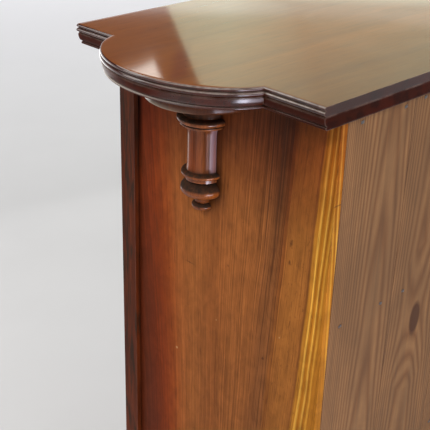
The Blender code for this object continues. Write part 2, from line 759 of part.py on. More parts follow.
def door_frame():
    """Stiles and rails grooved for the panel; stub tenons on the rails fill the ends of the grooves."""
    edge_y = (PANEL_FRONT - FIT, PANEL_FRONT + PANEL_THICKNESS + FIT)
    pieces = []
    for name, sign in (("door_hinge_stile", 1), ("door_lock_stile", -1)):
        stile = box(
            name, (sign * DOOR_INNER, sign * DOOR_EDGE), (FRONT_FACE, FRAME_BACK), (DOOR_BOTTOM, DOOR_TOP),
            "dark_mahogany",
        )
        groove = box(
            f"{name}_groove",
            (sign * (DOOR_INNER - GROOVE_DEPTH), sign * (DOOR_INNER + GROOVE_DEPTH)),
            edge_y,
            (0.0, HEIGHT),
        )
        cut(stile, groove)
        pieces.append(stile)
    rails = {
        "door_top_rail": (DOOR_PANEL_TOP, DOOR_TOP),
        "door_bottom_rail": (DOOR_PANEL_BOTTOM, DOOR_BOTTOM),
    }
    half = DOOR_INNER - FIT
    tip = DOOR_INNER + GROOVE_DEPTH - FIT
    tenon_y = (PANEL_FRONT, PANEL_FRONT + PANEL_THICKNESS)
    for name, (inner, outer) in rails.items():
        way = math.copysign(1.0, outer - inner)
        root = inner + way * GROOVE_DEPTH
        rail = box(name, (-half, half), (FRONT_FACE, FRAME_BACK), (inner, outer), "dark_mahogany")
        join(rail, box(f"{name}_tenons", (-tip, tip), tenon_y, (root + way * FIT, outer)))
        groove_z = (inner - way * GROOVE_DEPTH, root)
        cut(rail, box(f"{name}_groove", (-DOOR_EDGE, DOOR_EDGE), edge_y, groove_z))
        pieces.append(rail)
    reach = GROOVE_DEPTH - PANEL_PLAY
    panel = box(
        "door_panel",
        (-DOOR_INNER - reach, DOOR_INNER + reach),
        tenon_y,
        (DOOR_PANEL_BOTTOM - reach, DOOR_PANEL_TOP + reach),
        "striped_mahogany",
    )
    return [*pieces, panel]


def door_mouldings():
    """Four mitred lengths round the panel, from the frame's inner edge down to the panel."""
    depth = PANEL_FRONT - FIT - FRONT_FACE
    width = DOOR_MOULDING_WIDTH
    lip = DOOR_MOULDING_LIP
    run = width - lip - DOOR_MOULDING_FILLET
    fall = depth - DOOR_MOULDING_STEP - lip
    curve = [
        (DOOR_MOULDING_FILLET + run * math.sin(a), lip + fall * math.cos(a))
        for a in sweep(0, 90, EDGE_STEPS)
    ]
    fillet = [(FIT, 0.0), (FIT, depth), (DOOR_MOULDING_FILLET, depth)]
    profile = [*fillet, *curve, (width, lip - FIT), (width, 0.0)]
    y = PANEL_FRONT - FIT
    low, high = DOOR_PANEL_BOTTOM, DOOR_PANEL_TOP
    corners = {
        "top": ((-DOOR_INNER, y, high), (DOOR_INNER, y, high), (0, 0, -1)),
        "bottom": ((-DOOR_INNER, y, low), (DOOR_INNER, y, low), (0, 0, 1)),
        "left": ((-DOOR_INNER, y, low), (-DOOR_INNER, y, high), (1, 0, 0)),
        "right": ((DOOR_INNER, y, low), (DOOR_INNER, y, high), (-1, 0, 0)),
    }
    return [
        mitred_strip(
            f"door_moulding_{name}", profile, start, end, inward, (0, -1, 0), (True, True), "dark_mahogany"
        )
        for name, (start, end, inward) in corners.items()
    ]


def knuckle_spans(middle, own_outer):
    """Heights of the knuckle's lengths that belong to a leaf: the two outer thirds, or the middle one."""
    third = HINGE_LENGTH / 3
    low = middle - HINGE_LENGTH / 2
    thirds = [(low + third * i + FIT, low + third * (i + 1) - FIT) for i in range(3)]
    return [thirds[0], thirds[2]] if own_outer else [thirds[1]]


def hinge_leaf(name, middle, wood_edge, into_wood, own_outer):
    """A plate let into the wood, with tabs that run forward into its lengths of the knuckle."""
    plate_x = (wood_edge, wood_edge + into_wood * LEAF_THICKNESS)
    span = (middle - HINGE_LENGTH / 2 + FIT, middle + HINGE_LENGTH / 2 - FIT)
    leaf = box(name, plate_x, (FRONT_FACE + FIT, FRONT_FACE + LEAF_WIDTH), span, "brass")
    for number, (low, high) in enumerate(knuckle_spans(middle, own_outer)):
        tab = box(f"{name}_tab_{number}", plate_x, (HINGE_Y, FRONT_FACE + LEAF_WIDTH / 2), (low, high))
        barrel = rod(
            f"{name}_barrel_{number}", KNUCKLE_RADIUS,
            (HINGE_X, HINGE_Y, low), (HINGE_X, HINGE_Y, high), HINGE_STEPS,
        )
        join(leaf, tab, barrel)
    low, high = middle - HINGE_LENGTH, middle + HINGE_LENGTH
    bore = rod(
        f"{name}_bore", HINGE_PIN_RADIUS + HINGE_PIN_CLEARANCE,
        (HINGE_X, HINGE_Y, low), (HINGE_X, HINGE_Y, high), HINGE_STEPS,
    )
    cut(leaf, bore)
    return leaf


def hinge_pin(name, middle):
    """Pin with a small round tip at each end of the knuckle."""
    half = HINGE_LENGTH / 2
    tip = HINGE_PIN_TIP_RADIUS
    ball = [(tip * math.cos(a), tip * math.sin(a)) for a in sweep(0, 90, EDGE_STEPS)[:-1]]
    upper = [(0.0, tip)] + [(r, h) for r, h in reversed(ball)]
    profile = [(r, middle + half + h) for r, h in upper]
    profile += [(HINGE_PIN_RADIUS, middle + half), (HINGE_PIN_RADIUS, middle - half)]
    profile += [(r, middle - half - h) for r, h in reversed(upper)]
    pin = turned(name, profile, HINGE_STEPS, "brass")
    pin.location = (HINGE_X, HINGE_Y, 0.0)
    return pin


def hinges():
    """Two brass butts on the right; their beds are cut in the door's edge and in the front stile."""
    front_stile = bpy.data.objects["front_stile_right"]
    door_stile = bpy.data.objects["door_hinge_stile"]
    moving = []
    for place, middle in HINGE_HEIGHTS.items():
        bed_z = (middle - HINGE_LENGTH / 2, middle + HINGE_LENGTH / 2)
        bed_y = (FRONT_FACE - KNUCKLE_RADIUS, FRONT_FACE + LEAF_WIDTH + FIT)
        depth = LEAF_THICKNESS + FIT
        for stile, edge, way in ((front_stile, OPENING_HALF, 1), (door_stile, DOOR_EDGE, -1)):
            bed_x = (edge - way * DOOR_GAP / 4, edge + way * depth)
            cut(stile, box(f"{place}_{stile.name}_bed", bed_x, bed_y, bed_z))
        hinge_leaf(f"{place}_hinge_frame_leaf", middle, OPENING_HALF, 1, True)
        hinge_pin(f"{place}_hinge_pin", middle)
        moving.append(hinge_leaf(f"{place}_hinge_door_leaf", middle, DOOR_EDGE, -1, False))
    return moving


def keyhole(name, front, back):
    """Round hole with a slot below it, through everything between two depths."""
    radius = KEY_RADIUS + KEY_CLEARANCE
    hole = rod(f"{name}_round", radius, (KEY_X, front, KEY_Z), (KEY_X, back, KEY_Z), KEY_STEPS)
    half = KEY_BIT_THICKNESS / 2 + KEY_CLEARANCE
    slot = box(f"{name}_slot", (KEY_X - half, KEY_X + half), (front, back),
               (KEY_Z - KEY_BIT_REACH - KEY_CLEARANCE, KEY_Z))
    return hole, slot


def lock():
    """Case let into the back of the lock stile, with its bolt, and a strike plate on the front stile."""
    half = LOCK_HEIGHT / 2
    middle = LOCK_HEIGHT_FROM_FLOOR
    case_z = (middle - half, middle + half)
    case = box("lock_case", (LOCK_EDGE, LOCK_INNER), (LOCK_FRONT, FRAME_BACK), case_z, "iron")
    cavity = box(
        "lock_cavity",
        (LOCK_EDGE + LOCK_WALL, LOCK_INNER - LOCK_WALL),
        (LOCK_FRONT + LOCK_WALL, FRAME_BACK - LOCK_WALL),
        (case_z[0] + LOCK_WALL, case_z[1] - LOCK_WALL),
    )
    bolt_y = (LOCK_MIDDLE_Y - BOLT_THICKNESS / 2, LOCK_MIDDLE_Y + BOLT_THICKNESS / 2)
    passage_y = (bolt_y[0] - BOLT_CLEARANCE, bolt_y[1] + BOLT_CLEARANCE)
    passage_z = (BOLT_BOTTOM - BOLT_CLEARANCE, BOLT_TOP + BOLT_CLEARANCE)
    bolt_slot = box("bolt_slot", (LOCK_EDGE - LOCK_WALL, LOCK_EDGE + 2 * LOCK_WALL), passage_y, passage_z)
    cut(case, cavity, bolt_slot, *keyhole("case_keyhole", LOCK_FRONT - LOCK_WALL, LOCK_MIDDLE_Y))

    bolt = box("lock_bolt", (BOLT_END, BOLT_END + BOLT_LENGTH), bolt_y, (BOLT_BOTTOM, BOLT_TOP), "brass")
    notch = box(
        "bolt_notch",
        (KEY_X + BOLT_NOTCH_START, KEY_X + BOLT_NOTCH_END),
        (LOCK_FRONT, FRAME_BACK),
        (BOLT_BOTTOM - BOLT_HEIGHT, BOLT_BOTTOM + BOLT_NOTCH_DEPTH),
    )
    cut(bolt, notch)

    stile = bpy.data.objects["door_lock_stile"]
    bed = box(
        "lock_bed",
        (LOCK_EDGE - LOCK_WALL, LOCK_INNER + FIT),
        (LOCK_FRONT - FIT, FRAME_BACK + LOCK_WALL),
        (case_z[0] - FIT, case_z[1] + FIT),
    )
    cut(stile, bed, *keyhole("stile_keyhole", FRONT_FACE - LOCK_WALL, LOCK_MIDDLE_Y))

    face = -OPENING_HALF
    back = face - STRIKE_THICKNESS
    bolt_middle = (BOLT_BOTTOM + BOLT_TOP) / 2
    plate_y = (LOCK_MIDDLE_Y - STRIKE_WIDTH / 2, LOCK_MIDDLE_Y + STRIKE_WIDTH / 2)
    plate_z = (bolt_middle - STRIKE_LENGTH / 2, bolt_middle + STRIKE_LENGTH / 2)
    strike = box("strike_plate", (back, face), plate_y, plate_z, "brass")
    deep = face - 2 * BOLT_THROW
    cut(strike, box("strike_slot", (deep, face + LOCK_WALL), passage_y, passage_z))
    front_stile = bpy.data.objects["front_stile_left"]
    strike_bed = box(
        "strike_bed",
        (back - FIT, face + DOOR_GAP / 4),
        (plate_y[0] - FIT, plate_y[1] + FIT),
        (plate_z[0] - FIT, plate_z[1] + FIT),
    )
    cut(front_stile, strike_bed, box("bolt_mortise", (deep, face), passage_y, passage_z))
    return case, bolt


def escutcheon():
    """Oval plate round the keyhole."""
    plate_back = FRONT_FACE - FIT
    plate_front = plate_back - ESCUTCHEON_THICKNESS
    bm = bmesh.new()
    shape = Matrix.Diagonal((ESCUTCHEON_HALF_WIDTH, 1.0, ESCUTCHEON_HALF_HEIGHT, 1.0))
    bmesh.ops.create_cone(
        bm, cap_ends=True, segments=ESCUTCHEON_STEPS, radius1=1.0, radius2=1.0, depth=ESCUTCHEON_THICKNESS,
        matrix=shape @ Matrix.Rotation(math.pi / 2, 4, "X"),
    )
    at = (KEY_X, (plate_front + plate_back) / 2, KEY_Z - KEY_BIT_REACH / 4)
    plate = finish("escutcheon", bm, "brass", at)
    cut(plate, *keyhole("escutcheon_keyhole", plate_front - LOCK_WALL, plate_back + LOCK_WALL))
    return plate


def key():
    """Shank with a collar, a ring bow in front of the door, and inside the lock a bit that points down."""
    bow_y = FRONT_FACE - KEY_STANDOFF - KEY_BOW_RADIUS
    bit_y = (LOCK_MIDDLE_Y - BOLT_THICKNESS / 2, LOCK_MIDDLE_Y + BOLT_THICKNESS / 2)
    shank_end = bit_y[1] + KEY_CLEARANCE
    at = (KEY_X, FRONT_FACE - KEY_STANDOFF, KEY_Z)
    shank = rod("key", KEY_RADIUS, at, (KEY_X, shank_end, KEY_Z), KEY_STEPS, "iron")
    collar_start = FRONT_FACE - 2 * KEY_COLLAR_LENGTH
    collar = rod(
        "key_collar", KEY_COLLAR_RADIUS, (KEY_X, collar_start - KEY_COLLAR_LENGTH, KEY_Z),
        (KEY_X, collar_start, KEY_Z), KEY_STEPS,
    )
    bpy.ops.mesh.primitive_torus_add(
        major_segments=KEY_BOW_STEPS, minor_segments=KEY_BOW_WIRE_STEPS,
        major_radius=KEY_BOW_RADIUS, minor_radius=KEY_BOW_WIRE,
        location=(KEY_X, bow_y, KEY_Z), rotation=(0, math.pi / 2, 0),
    )
    bow = bpy.context.object
    bow.name = "key_bow"
    bow.hide_render = True
    bow.display_type = "WIRE"
    for holder in list(bow.users_collection):
        holder.objects.unlink(bow)
    CUTTERS.objects.link(bow)
    half = KEY_BIT_THICKNESS / 2
    bit = box("key_bit", (KEY_X - half, KEY_X + half), bit_y, (KEY_Z - KEY_BIT_REACH, KEY_Z))
    join(shank, collar, bow, bit)
    return shank


def door_knob():
    """Turned knob with a rose against the door and a spigot in the lock stile."""
    seat = FIT
    ball_middle = KNOB_PROJECTION - KNOB_RADIUS
    ball = [
        (KNOB_RADIUS * math.cos(a), ball_middle + KNOB_RADIUS * math.sin(a))
        for a in sweep(90, KNOB_BALL_END_DEG, KNOB_STEPS)[1:]
    ]
    rose_top = seat + KNOB_ROSE_THICKNESS
    neck = hollow(
        (KNOB_NECK_RADIUS + FIT, ball[-1][1] - FIT),
        (KNOB_NECK_RADIUS, rose_top + KNOB_ROSE_THICKNESS),
    )
    profile = [
        (0.0, KNOB_PROJECTION),
        *ball,
        *neck[1:],
        (KNOB_NECK_RADIUS, rose_top),
        *bead(KNOB_ROSE_RADIUS, seat + KNOB_ROSE_THICKNESS / 2, KNOB_ROSE_THICKNESS / 2),
        (KNOB_SPIGOT_RADIUS, seat),
        (KNOB_SPIGOT_RADIUS, -KNOB_SPIGOT_LENGTH),
        (0.0, -KNOB_SPIGOT_LENGTH),
    ]
    knob = turned("door_knob", profile, TURNING_STEPS // 2, "brass")
    x = LOCK_EDGE + DOOR_STILE_WIDTH / 2
    z = LOCK_HEIGHT_FROM_FLOOR + KNOB_ABOVE_LOCK
    knob.location = (x, FRONT_FACE, z)
    knob.rotation_euler = (math.pi / 2, 0, 0)
    hole_end = FRONT_FACE + KNOB_SPIGOT_LENGTH + FIT
    hole_start = FRONT_FACE - LOCK_WALL
    hole = rod("knob_hole", KNOB_SPIGOT_RADIUS + FIT, (x, hole_start, z), (x, hole_end, z), KEY_STEPS)
    cut(bpy.data.objects["door_lock_stile"], hole)
    return knob


def pivot(name, at, parent=None):
    """An empty on a joint's axis."""
    empty = bpy.data.objects.new(name, None)
    empty.empty_display_size = AXIS_MARK_SIZE
    PARTS.objects.link(empty)
    empty.location = at
    bpy.context.view_layer.update()
    if parent:
        hang([empty], parent)
    return empty


def hang(pieces, parent):
    """Parents pieces to an empty where they stand."""
    bpy.context.view_layer.update()
    for piece in pieces:
        piece.parent = parent
        piece.matrix_parent_inverse = parent.matrix_world.inverted()


def build():
    top_boards()
    lobe_supports()
    side_boards()
    shelves_and_bottom()
    back_boards()
    face_frame()
    top_battens()
    door_stop()
    plinth()
    base_mouldings()
    door_pieces = door_frame() + door_mouldings() + hinges()
    case, bolt = lock()
    door_pieces += [case, escutcheon(), door_knob()]
    door_axis = pivot("door_axis", (HINGE_X, HINGE_Y, DOOR_BOTTOM))
    hang(door_pieces, door_axis)
    hang([key()], pivot("key_axis", (KEY_X, FRONT_FACE, KEY_Z), door_axis))
    hang([bolt], pivot("bolt_slide", (BOLT_END, LOCK_MIDDLE_Y, BOLT_BOTTOM), door_axis))


build()
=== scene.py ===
"""Music cabinet: its moulded top, split turnings, boards, door and brass, with their polish, light and camera."""

import math

import bmesh
import bpy
from mathutils import Matrix, Vector


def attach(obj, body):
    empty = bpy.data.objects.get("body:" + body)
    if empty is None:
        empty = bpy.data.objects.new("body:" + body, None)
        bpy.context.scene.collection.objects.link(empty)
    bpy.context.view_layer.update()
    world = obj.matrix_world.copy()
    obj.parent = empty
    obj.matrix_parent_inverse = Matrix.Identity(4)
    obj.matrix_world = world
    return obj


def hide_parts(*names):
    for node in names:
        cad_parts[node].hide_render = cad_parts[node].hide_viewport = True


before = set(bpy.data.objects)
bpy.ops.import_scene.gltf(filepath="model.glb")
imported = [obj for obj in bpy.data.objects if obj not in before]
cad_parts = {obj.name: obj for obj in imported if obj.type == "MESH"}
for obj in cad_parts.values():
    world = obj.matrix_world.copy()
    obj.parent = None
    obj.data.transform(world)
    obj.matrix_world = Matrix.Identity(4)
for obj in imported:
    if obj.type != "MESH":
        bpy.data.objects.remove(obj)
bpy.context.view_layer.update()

SIDES = {"left": -1, "right": 1}
FIT = 0.0003  # play between glued pieces
WELD = 0.000002  # points closer than this are one

# Top and its turnings, in metres
TOP = 0.965
UNDER_TOP = 0.9547
CARCASS_TOP = 0.9414
TOP_FRONT = -0.180
TOP_BACK = 0.180
SIDE_FACE = 0.225
SIDE_OVERHANG = 0.0347
LOBE_CENTRE_OUT = 0.0101
LOBE_REACH = 0.0900
LOBE_HALF_LENGTH = 0.1168
LOBE_STEPS = 128
PENDANT_Y = -0.0055
CORNER_EASE = 0.0010

# Boards, lock and hinges
PINE_BOARD = 0.10735  # from one back board to the next
DOOR_FRONT = -0.140
FRAME_BACK = -0.1156
BACK_FACE = 0.174
OPENING_HALF, DOOR_EDGE = 0.185, 0.183
HINGE_MIDDLES = {"lower": 0.2073, "upper": 0.8134}
LOCK_MIDDLE_Y = -0.1211
KEY_X, KEY_Z = -0.169, 0.542
KNOB_X, KNOB_Z = -0.158, 0.635
LEAF_SCREW, LOCK_SCREW = 0.0026, 0.0022  # radius of a head
LEAF_SCREW_Y, LEAF_SCREW_STEP = -0.1300, 0.0165
PROUD = 0.0002
NAIL_HEAD = (0.0046, 0.0007, 0.0032)
NAIL_ASIDE = 0.034  # from the middle of a board
NAIL_HEIGHTS = (0.108, 0.2297, 0.4686, 0.7075, 0.934)
UP, FORWARD = (0.0, 0.0, 1.0), (0.0, -1.0, 0.0)

# Heights and depths of painted highlights and shade: where each starts, is full, falls off and ends
SHAFT = (0.8366, 0.8378, 0.8876, 0.8886)
LOWER_BEAD = (0.9430, 0.9436, 0.9449, 0.9454)
PENDANT_SHADOW_Y = (-0.010, 0.0, 0.014, 0.036)
PENDANT_SHADOW_Z = (0.790, 0.812, 0.885, 0.905)

# Knocks on the side board: y, z, half width, half height
DARK_DENTS = (
    (0.1240, 0.796, 0.0034, 0.0070), (-0.025, 0.712, 0.0090, 0.0014), (0.036, 0.733, 0.0022, 0.0022),
    (0.094, 0.640, 0.0020, 0.0030), (-0.060, 0.690, 0.0016, 0.0016), (0.1231, 0.773, 0.0022, 0.0040),
)
LIGHT_NICKS = ((-0.046, 0.584, 0.0022, 0.0022), (0.116, 0.678, 0.0012, 0.0022), (0.020, 0.655, 0.0012, 0.0012))

# Ground colours of the side board, from its front edge to its back edge
BOARD_COLOURS = (
    (0.000, (0.100, 0.018, 0.005)), (0.060, (0.145, 0.024, 0.005)), (0.120, (0.205, 0.035, 0.006)),
    (0.180, (0.250, 0.054, 0.010)), (0.235, (0.295, 0.086, 0.020)), (0.330, (0.315, 0.103, 0.025)),
    (0.450, (0.285, 0.090, 0.022)), (0.560, (0.305, 0.101, 0.025)), (0.670, (0.295, 0.099, 0.025)),
    (0.715, (0.255, 0.088, 0.025)), (0.742, (0.232, 0.082, 0.024)), (0.765, (0.226, 0.078, 0.022)),
    (0.778, (0.232, 0.071, 0.017)), (0.794, (0.238, 0.072, 0.016)), (0.801, (0.318, 0.111, 0.023)),
    (0.850, (0.338, 0.121, 0.024)), (0.900, (0.338, 0.120, 0.024)),
    (0.910, (0.245, 0.080, 0.018)), (0.917, (0.430, 0.168, 0.020)), (0.926, (0.460, 0.184, 0.020)),
    (0.933, (0.780, 0.400, 0.060)), (0.939, (0.370, 0.130, 0.010)), (0.951, (0.440, 0.162, 0.014)),
    (0.957, (0.760, 0.385, 0.055)), (0.963, (0.355, 0.122, 0.010)), (0.971, (0.400, 0.145, 0.012)),
    (0.977, (0.620, 0.285, 0.034)), (0.984, (0.390, 0.145, 0.014)),
)
WHITE = (1.0, 1.0, 1.0)


# Node helpers

class Wire:
    """A value, colour or vector that runs through a node tree."""

    def __init__(self, tree, socket):
        self.tree, self.socket = tree, socket

    def to(self, socket):
        self.tree.links.new(self.socket, socket)

    def through(self, kind, inputs, **settings):
        """The first output of a new node in the same tree."""
        return Wire(self.tree, put(self.tree, kind, inputs, **settings).outputs[0])

    def maths(self, operation, *others):
        return self.through("ShaderNodeMath", dict(enumerate((self, *others))), operation=operation)

    def __add__(self, other):
        return self.maths("ADD", other)

    def __sub__(self, other):
        return self.maths("SUBTRACT", other)

    def __mul__(self, other):
        return self.maths("MULTIPLY", other)

    def __truediv__(self, other):
        return self.maths("DIVIDE", other)

    def __abs__(self):
        return self.maths("ABSOLUTE")

    def most(self, other):
        return self.maths("MAXIMUM", other)

    def split(self):
        """X, Y and Z of a vector."""
        made = put(self.tree, "ShaderNodeSeparateXYZ", {"Vector": self})
        return [Wire(self.tree, socket) for socket in made.outputs]

    def stretched(self, factors):
        return self.through("ShaderNodeVectorMath", {0: self, 1: factors}, operation="MULTIPLY")

    def noise(self, scale, detail=2.0, rough=0.5, distortion=0.0):
        """Noise on a vector; a scale of three numbers stretches the vector first."""
        if isinstance(scale, tuple):
            return self.stretched(scale).noise(1.0, detail, rough, distortion)
        return self.through("ShaderNodeTexNoise", {
            "Vector": self, "Scale": scale, "Detail": detail, "Roughness": rough, "Distortion": distortion,
        })

    def spread(self, low, high, to_low=0.0, to_high=1.0):
        """Carries the range from low to high over to another range, and holds its ends."""
        return self.through("ShaderNodeMapRange", {
            "Value": self, "From Min": low, "From Max": high, "To Min": to_low, "To Max": to_high,
        })

    def over(self, low, high):
        """Carries the range from 0 to 1 over to another one."""
        return self.spread(0.0, 1.0, low, high)

    def window(self, start, full, fall, end):
        """A mask that rises from start to full and goes from fall to end."""
        return self.spread(start, full) * self.spread(end, fall)

    def ramp(self, stops):
        made = put(self.tree, "ShaderNodeValToRGB", {"Fac": self})
        steps = made.color_ramp.elements
        while len(steps) < len(stops):
            steps.new(0.5)
        for step, (place, colour) in zip(steps, stops):
            step.position = place
            step.color = (*colour, 1.0)
        return Wire(self.tree, made.outputs[0])

    def weigh(self, first, second):
        """Goes from one value to another as this mask grows."""
        return self.through("ShaderNodeMix", {0: self, 2: first, 3: second}, data_type="FLOAT")

    def between(self, first, second):
        """Goes from one colour to another as this mask grows."""
        return blend(self.tree, self, first, second)

    def painted(self, mask, paint):
        """This colour with a paint over it where the mask is strong."""
        return blend(self.tree, mask, self, paint)

    def tinted(self, tint, mask=None):
        """This colour times a tint, all over or where the mask is strong."""
        made = blend(self.tree, 1.0, self, tint, "MULTIPLY")
        return made if mask is None else self.painted(mask, made)


def feed(socket, value):
    """Links a wire to an input socket, or sets a plain value on it."""
    if isinstance(value, Wire):
        value.to(socket)
    elif socket.type == "RGBA":
        socket.default_value = (*value, 1.0)
    else:
        socket.default_value = value


def put(tree, kind, inputs, **settings):
    """A node with its settings and inputs."""
    made = tree.nodes.new(kind)
    for name, value in settings.items():
        setattr(made, name, value)
    for name, value in inputs.items():
        feed(made.inputs[name], value)
    return made


def wires(tree, kind, inputs=None, **settings):
    """The outputs of a new node, by name."""
    return {socket.name: Wire(tree, socket) for socket in put(tree, kind, inputs or {}, **settings).outputs}


def blend(tree, factor, first, second, how="MIX"):
    made = put(tree, "ShaderNodeMix", {0: factor, 6: first, 7: second}, data_type="RGBA", blend_type=how)
    return Wire(tree, made.outputs[2])


def point(tree, x, y, z):
    return wires(tree, "ShaderNodeCombineXYZ", {"X": x, "Y": y, "Z": z})["Vector"]


def facing(tree):
    """How far a face looks up: 1 for a level one, 0 for an upright one."""
    return wires(tree, "ShaderNodeNewGeometry")["Normal"].split()[2]


def on_piece(tree):
    return wires(tree, "ShaderNodeTexCoord")["Object"]


SOCKETS = {"Vector": "NodeSocketVector", "Color": "NodeSocketColor"}


def group(takes, gives):
    """Makes a shader node group of a function that fills its tree, between the wires that come in and the sockets
    that go out."""
    def made(fill):
        tree = bpy.data.node_groups.new(fill.__name__, "ShaderNodeTree")
        for way, labels in (("INPUT", takes), ("OUTPUT", gives)):
            for label in labels:
                tree.interface.new_socket(label, in_out=way, socket_type=SOCKETS.get(label, "NodeSocketFloat"))
        fill(tree, wires(tree, "NodeGroupInput"), tree.nodes.new("NodeGroupOutput").inputs)
        return tree
    return made


def use(tree, effect, **values):
    return wires(tree, "ShaderNodeGroup", values, node_tree=effect)


# Effects that several finishes share

@group(["Vector"], ["Figure", "Streaks", "Pores"])
def wood_figure(tree, given, gives):
    """Broad figure, narrow streaks and open pores of a board whose grain is already stretched."""
    given["Vector"].noise(24, 4, 0.55, 0.9).spread(0.30, 0.70).to(gives["Figure"])
    given["Vector"].noise(210, 3, 0.55, 0.3).spread(0.28, 0.72).to(gives["Streaks"])
    given["Vector"].noise(720, 2, 0.5).spread(0.56, 0.74).to(gives["Pores"])


@group(["Radius"], ["Worn", "Edge"])
def edge_wear(tree, given, gives):
    """Masks of arrises, and of those that hands and dusters have rubbed."""
    rounded = wires(tree, "ShaderNodeBevel", {"Radius": given["Radius"]}, samples=6)["Normal"]
    flat = wires(tree, "ShaderNodeNewGeometry")["Normal"]
    turn = wires(tree, "ShaderNodeVectorMath", {0: rounded, 1: flat}, operation="DOT_PRODUCT")["Value"]
    edge = turn.spread(0.985, 0.86)
    (edge * on_piece(tree).noise(45, 3).spread(0.35, 0.65)).to(gives["Worn"])
    edge.to(gives["Edge"])


@group(["Reach"], ["Grime"])
def corner_dirt_and_shade(tree, given, gives):
    """Mask of old wax and dirt where pieces meet, which also darkens corners, creases and recesses as painted shade."""
    open_sky = wires(tree, "ShaderNodeAmbientOcclusion", {"Distance": given["Reach"]}, samples=8)["AO"]
    patches = on_piece(tree).noise(30, 3).spread(0.25, 0.70, 0.55, 1.0)
    (open_sky.spread(0.80, 0.30) * patches).to(gives["Grime"])


@group(["Amount"], ["Dust"])
def settled_dust(tree, given, gives):
    """Mask of dust on faces that look up."""
    patches = on_piece(tree).noise(26, 5, 0.7).spread(0.35, 0.75)
    (facing(tree).spread(0.70, 1.0) * patches * given["Amount"]).to(gives["Dust"])


@group(["Vector", "SoilAndShade", "Low", "High", "Most"], ["Dirt"])
def settled_dirt_and_shade(tree, given, gives):
    """Mask of dull dirt and painted shade: dirt on faces that look up, which also stands for painted shade on them, and
    a film of painted shade that thickens from a low to a high place.
    """
    patches = given["Vector"].noise(160, 4, 0.7).spread(0.30, 0.60, 0.70, 1.0)
    soil_and_shade = facing(tree).spread(0.02, 0.42) * given["SoilAndShade"] * patches
    shade_film = given["Vector"].split()[2].spread(given["Low"], given["High"], 0.0, given["Most"])
    soil_and_shade.most(shade_film).to(gives["Dirt"])


@group(["Vector", "Amount"], ["Smoke"])
def old_smoke(tree, given, gives):
    """Mask of dark clouds in an old polish, along a grain that is already stretched."""
    given["Vector"].noise(125, 3, 0.6, 0.4).spread(0.48, 0.63, 0.0, given["Amount"]).to(gives["Smoke"])


@group(["Vector"], ["Rub", "Ripple"])
def rubbed_polish(tree, given, gives):
    """Uneven gloss and slight waviness of an old hand polish."""
    smears = given["Vector"].noise(14, 4, 0.6, 0.6)
    fine = given["Vector"].noise(900, 2, 0.6)
    (fine * 0.25 + smears * 0.75).spread(0.30, 0.70).to(gives["Rub"])
    given["Vector"].noise(55, 2, 0.5).to(gives["Ripple"])


@group(["Vector"], ["Color", "Crest", "Rim", "Kept", "Dulled"])
def top_edge_shade_and_highlights(tree, given, gives):
    """Marks of the top's two boards: painted shade on faces that don't look up and towards the back, a darker, less
    blue patch on the lobe, painted highlights on the upper beads' crests and on the lower bead, where polish is kept on
    the edge, and how far it is dulled inwards."""
    vector = given["Vector"]
    x, y, z = vector.split()
    out, rise = abs(x), facing(tree)
    inward = y - out
    darker_patch = inward.window(-0.283, -0.270, -0.259, -0.250) * y.window(-0.050, -0.020, 0.030, 0.045)
    # Painted shade on the moulded edges: a dark, purplish, mottled tint for faces that don't look up.
    edge_shade = vector.noise(24, 2).spread(0.46, 0.66).between((0.205, 0.105, 0.260), (0.290, 0.118, 0.240))
    edge_shade = edge_shade.tinted(vector.noise(62, 3, 0.6).spread(0.50, 0.64, 1.0, 0.58))
    tint = rise.spread(0.90, 0.99).between(edge_shade, WHITE).tinted((0.77, 0.58, 0.25), darker_patch)
    # Painted shade: the boards darken towards the back.
    tint.tinted(y.spread(0.05, 0.17, 1.0, 0.62)).to(gives["Color"])
    # Painted highlight on the crests of the upper beads, from the back of the lobe along the straight edge.
    crest = rise.window(0.10, 0.45, 0.85, 0.97) * z.spread(0.9550, 0.9556) * y.spread(0.010, 0.045)
    (crest * vector.noise(70, 3, 0.6).spread(0.30, 0.66, 0.15, 0.70)).to(gives["Crest"])
    # Painted highlight along the lower bead at the front of the lobe.
    rim = z.window(*LOWER_BEAD) * y.spread(0.075, -0.030, 0.0, 0.80) * y.spread(-0.124, -0.106)
    (rim * out.spread(0.20, 0.24)).to(gives["Rim"])
    y.window(0.010, 0.044, 0.100, 0.112).most(z.spread(0.9540, 0.9552)).to(gives["Kept"])
    inward.spread(-0.20, -0.08).to(gives["Dulled"])


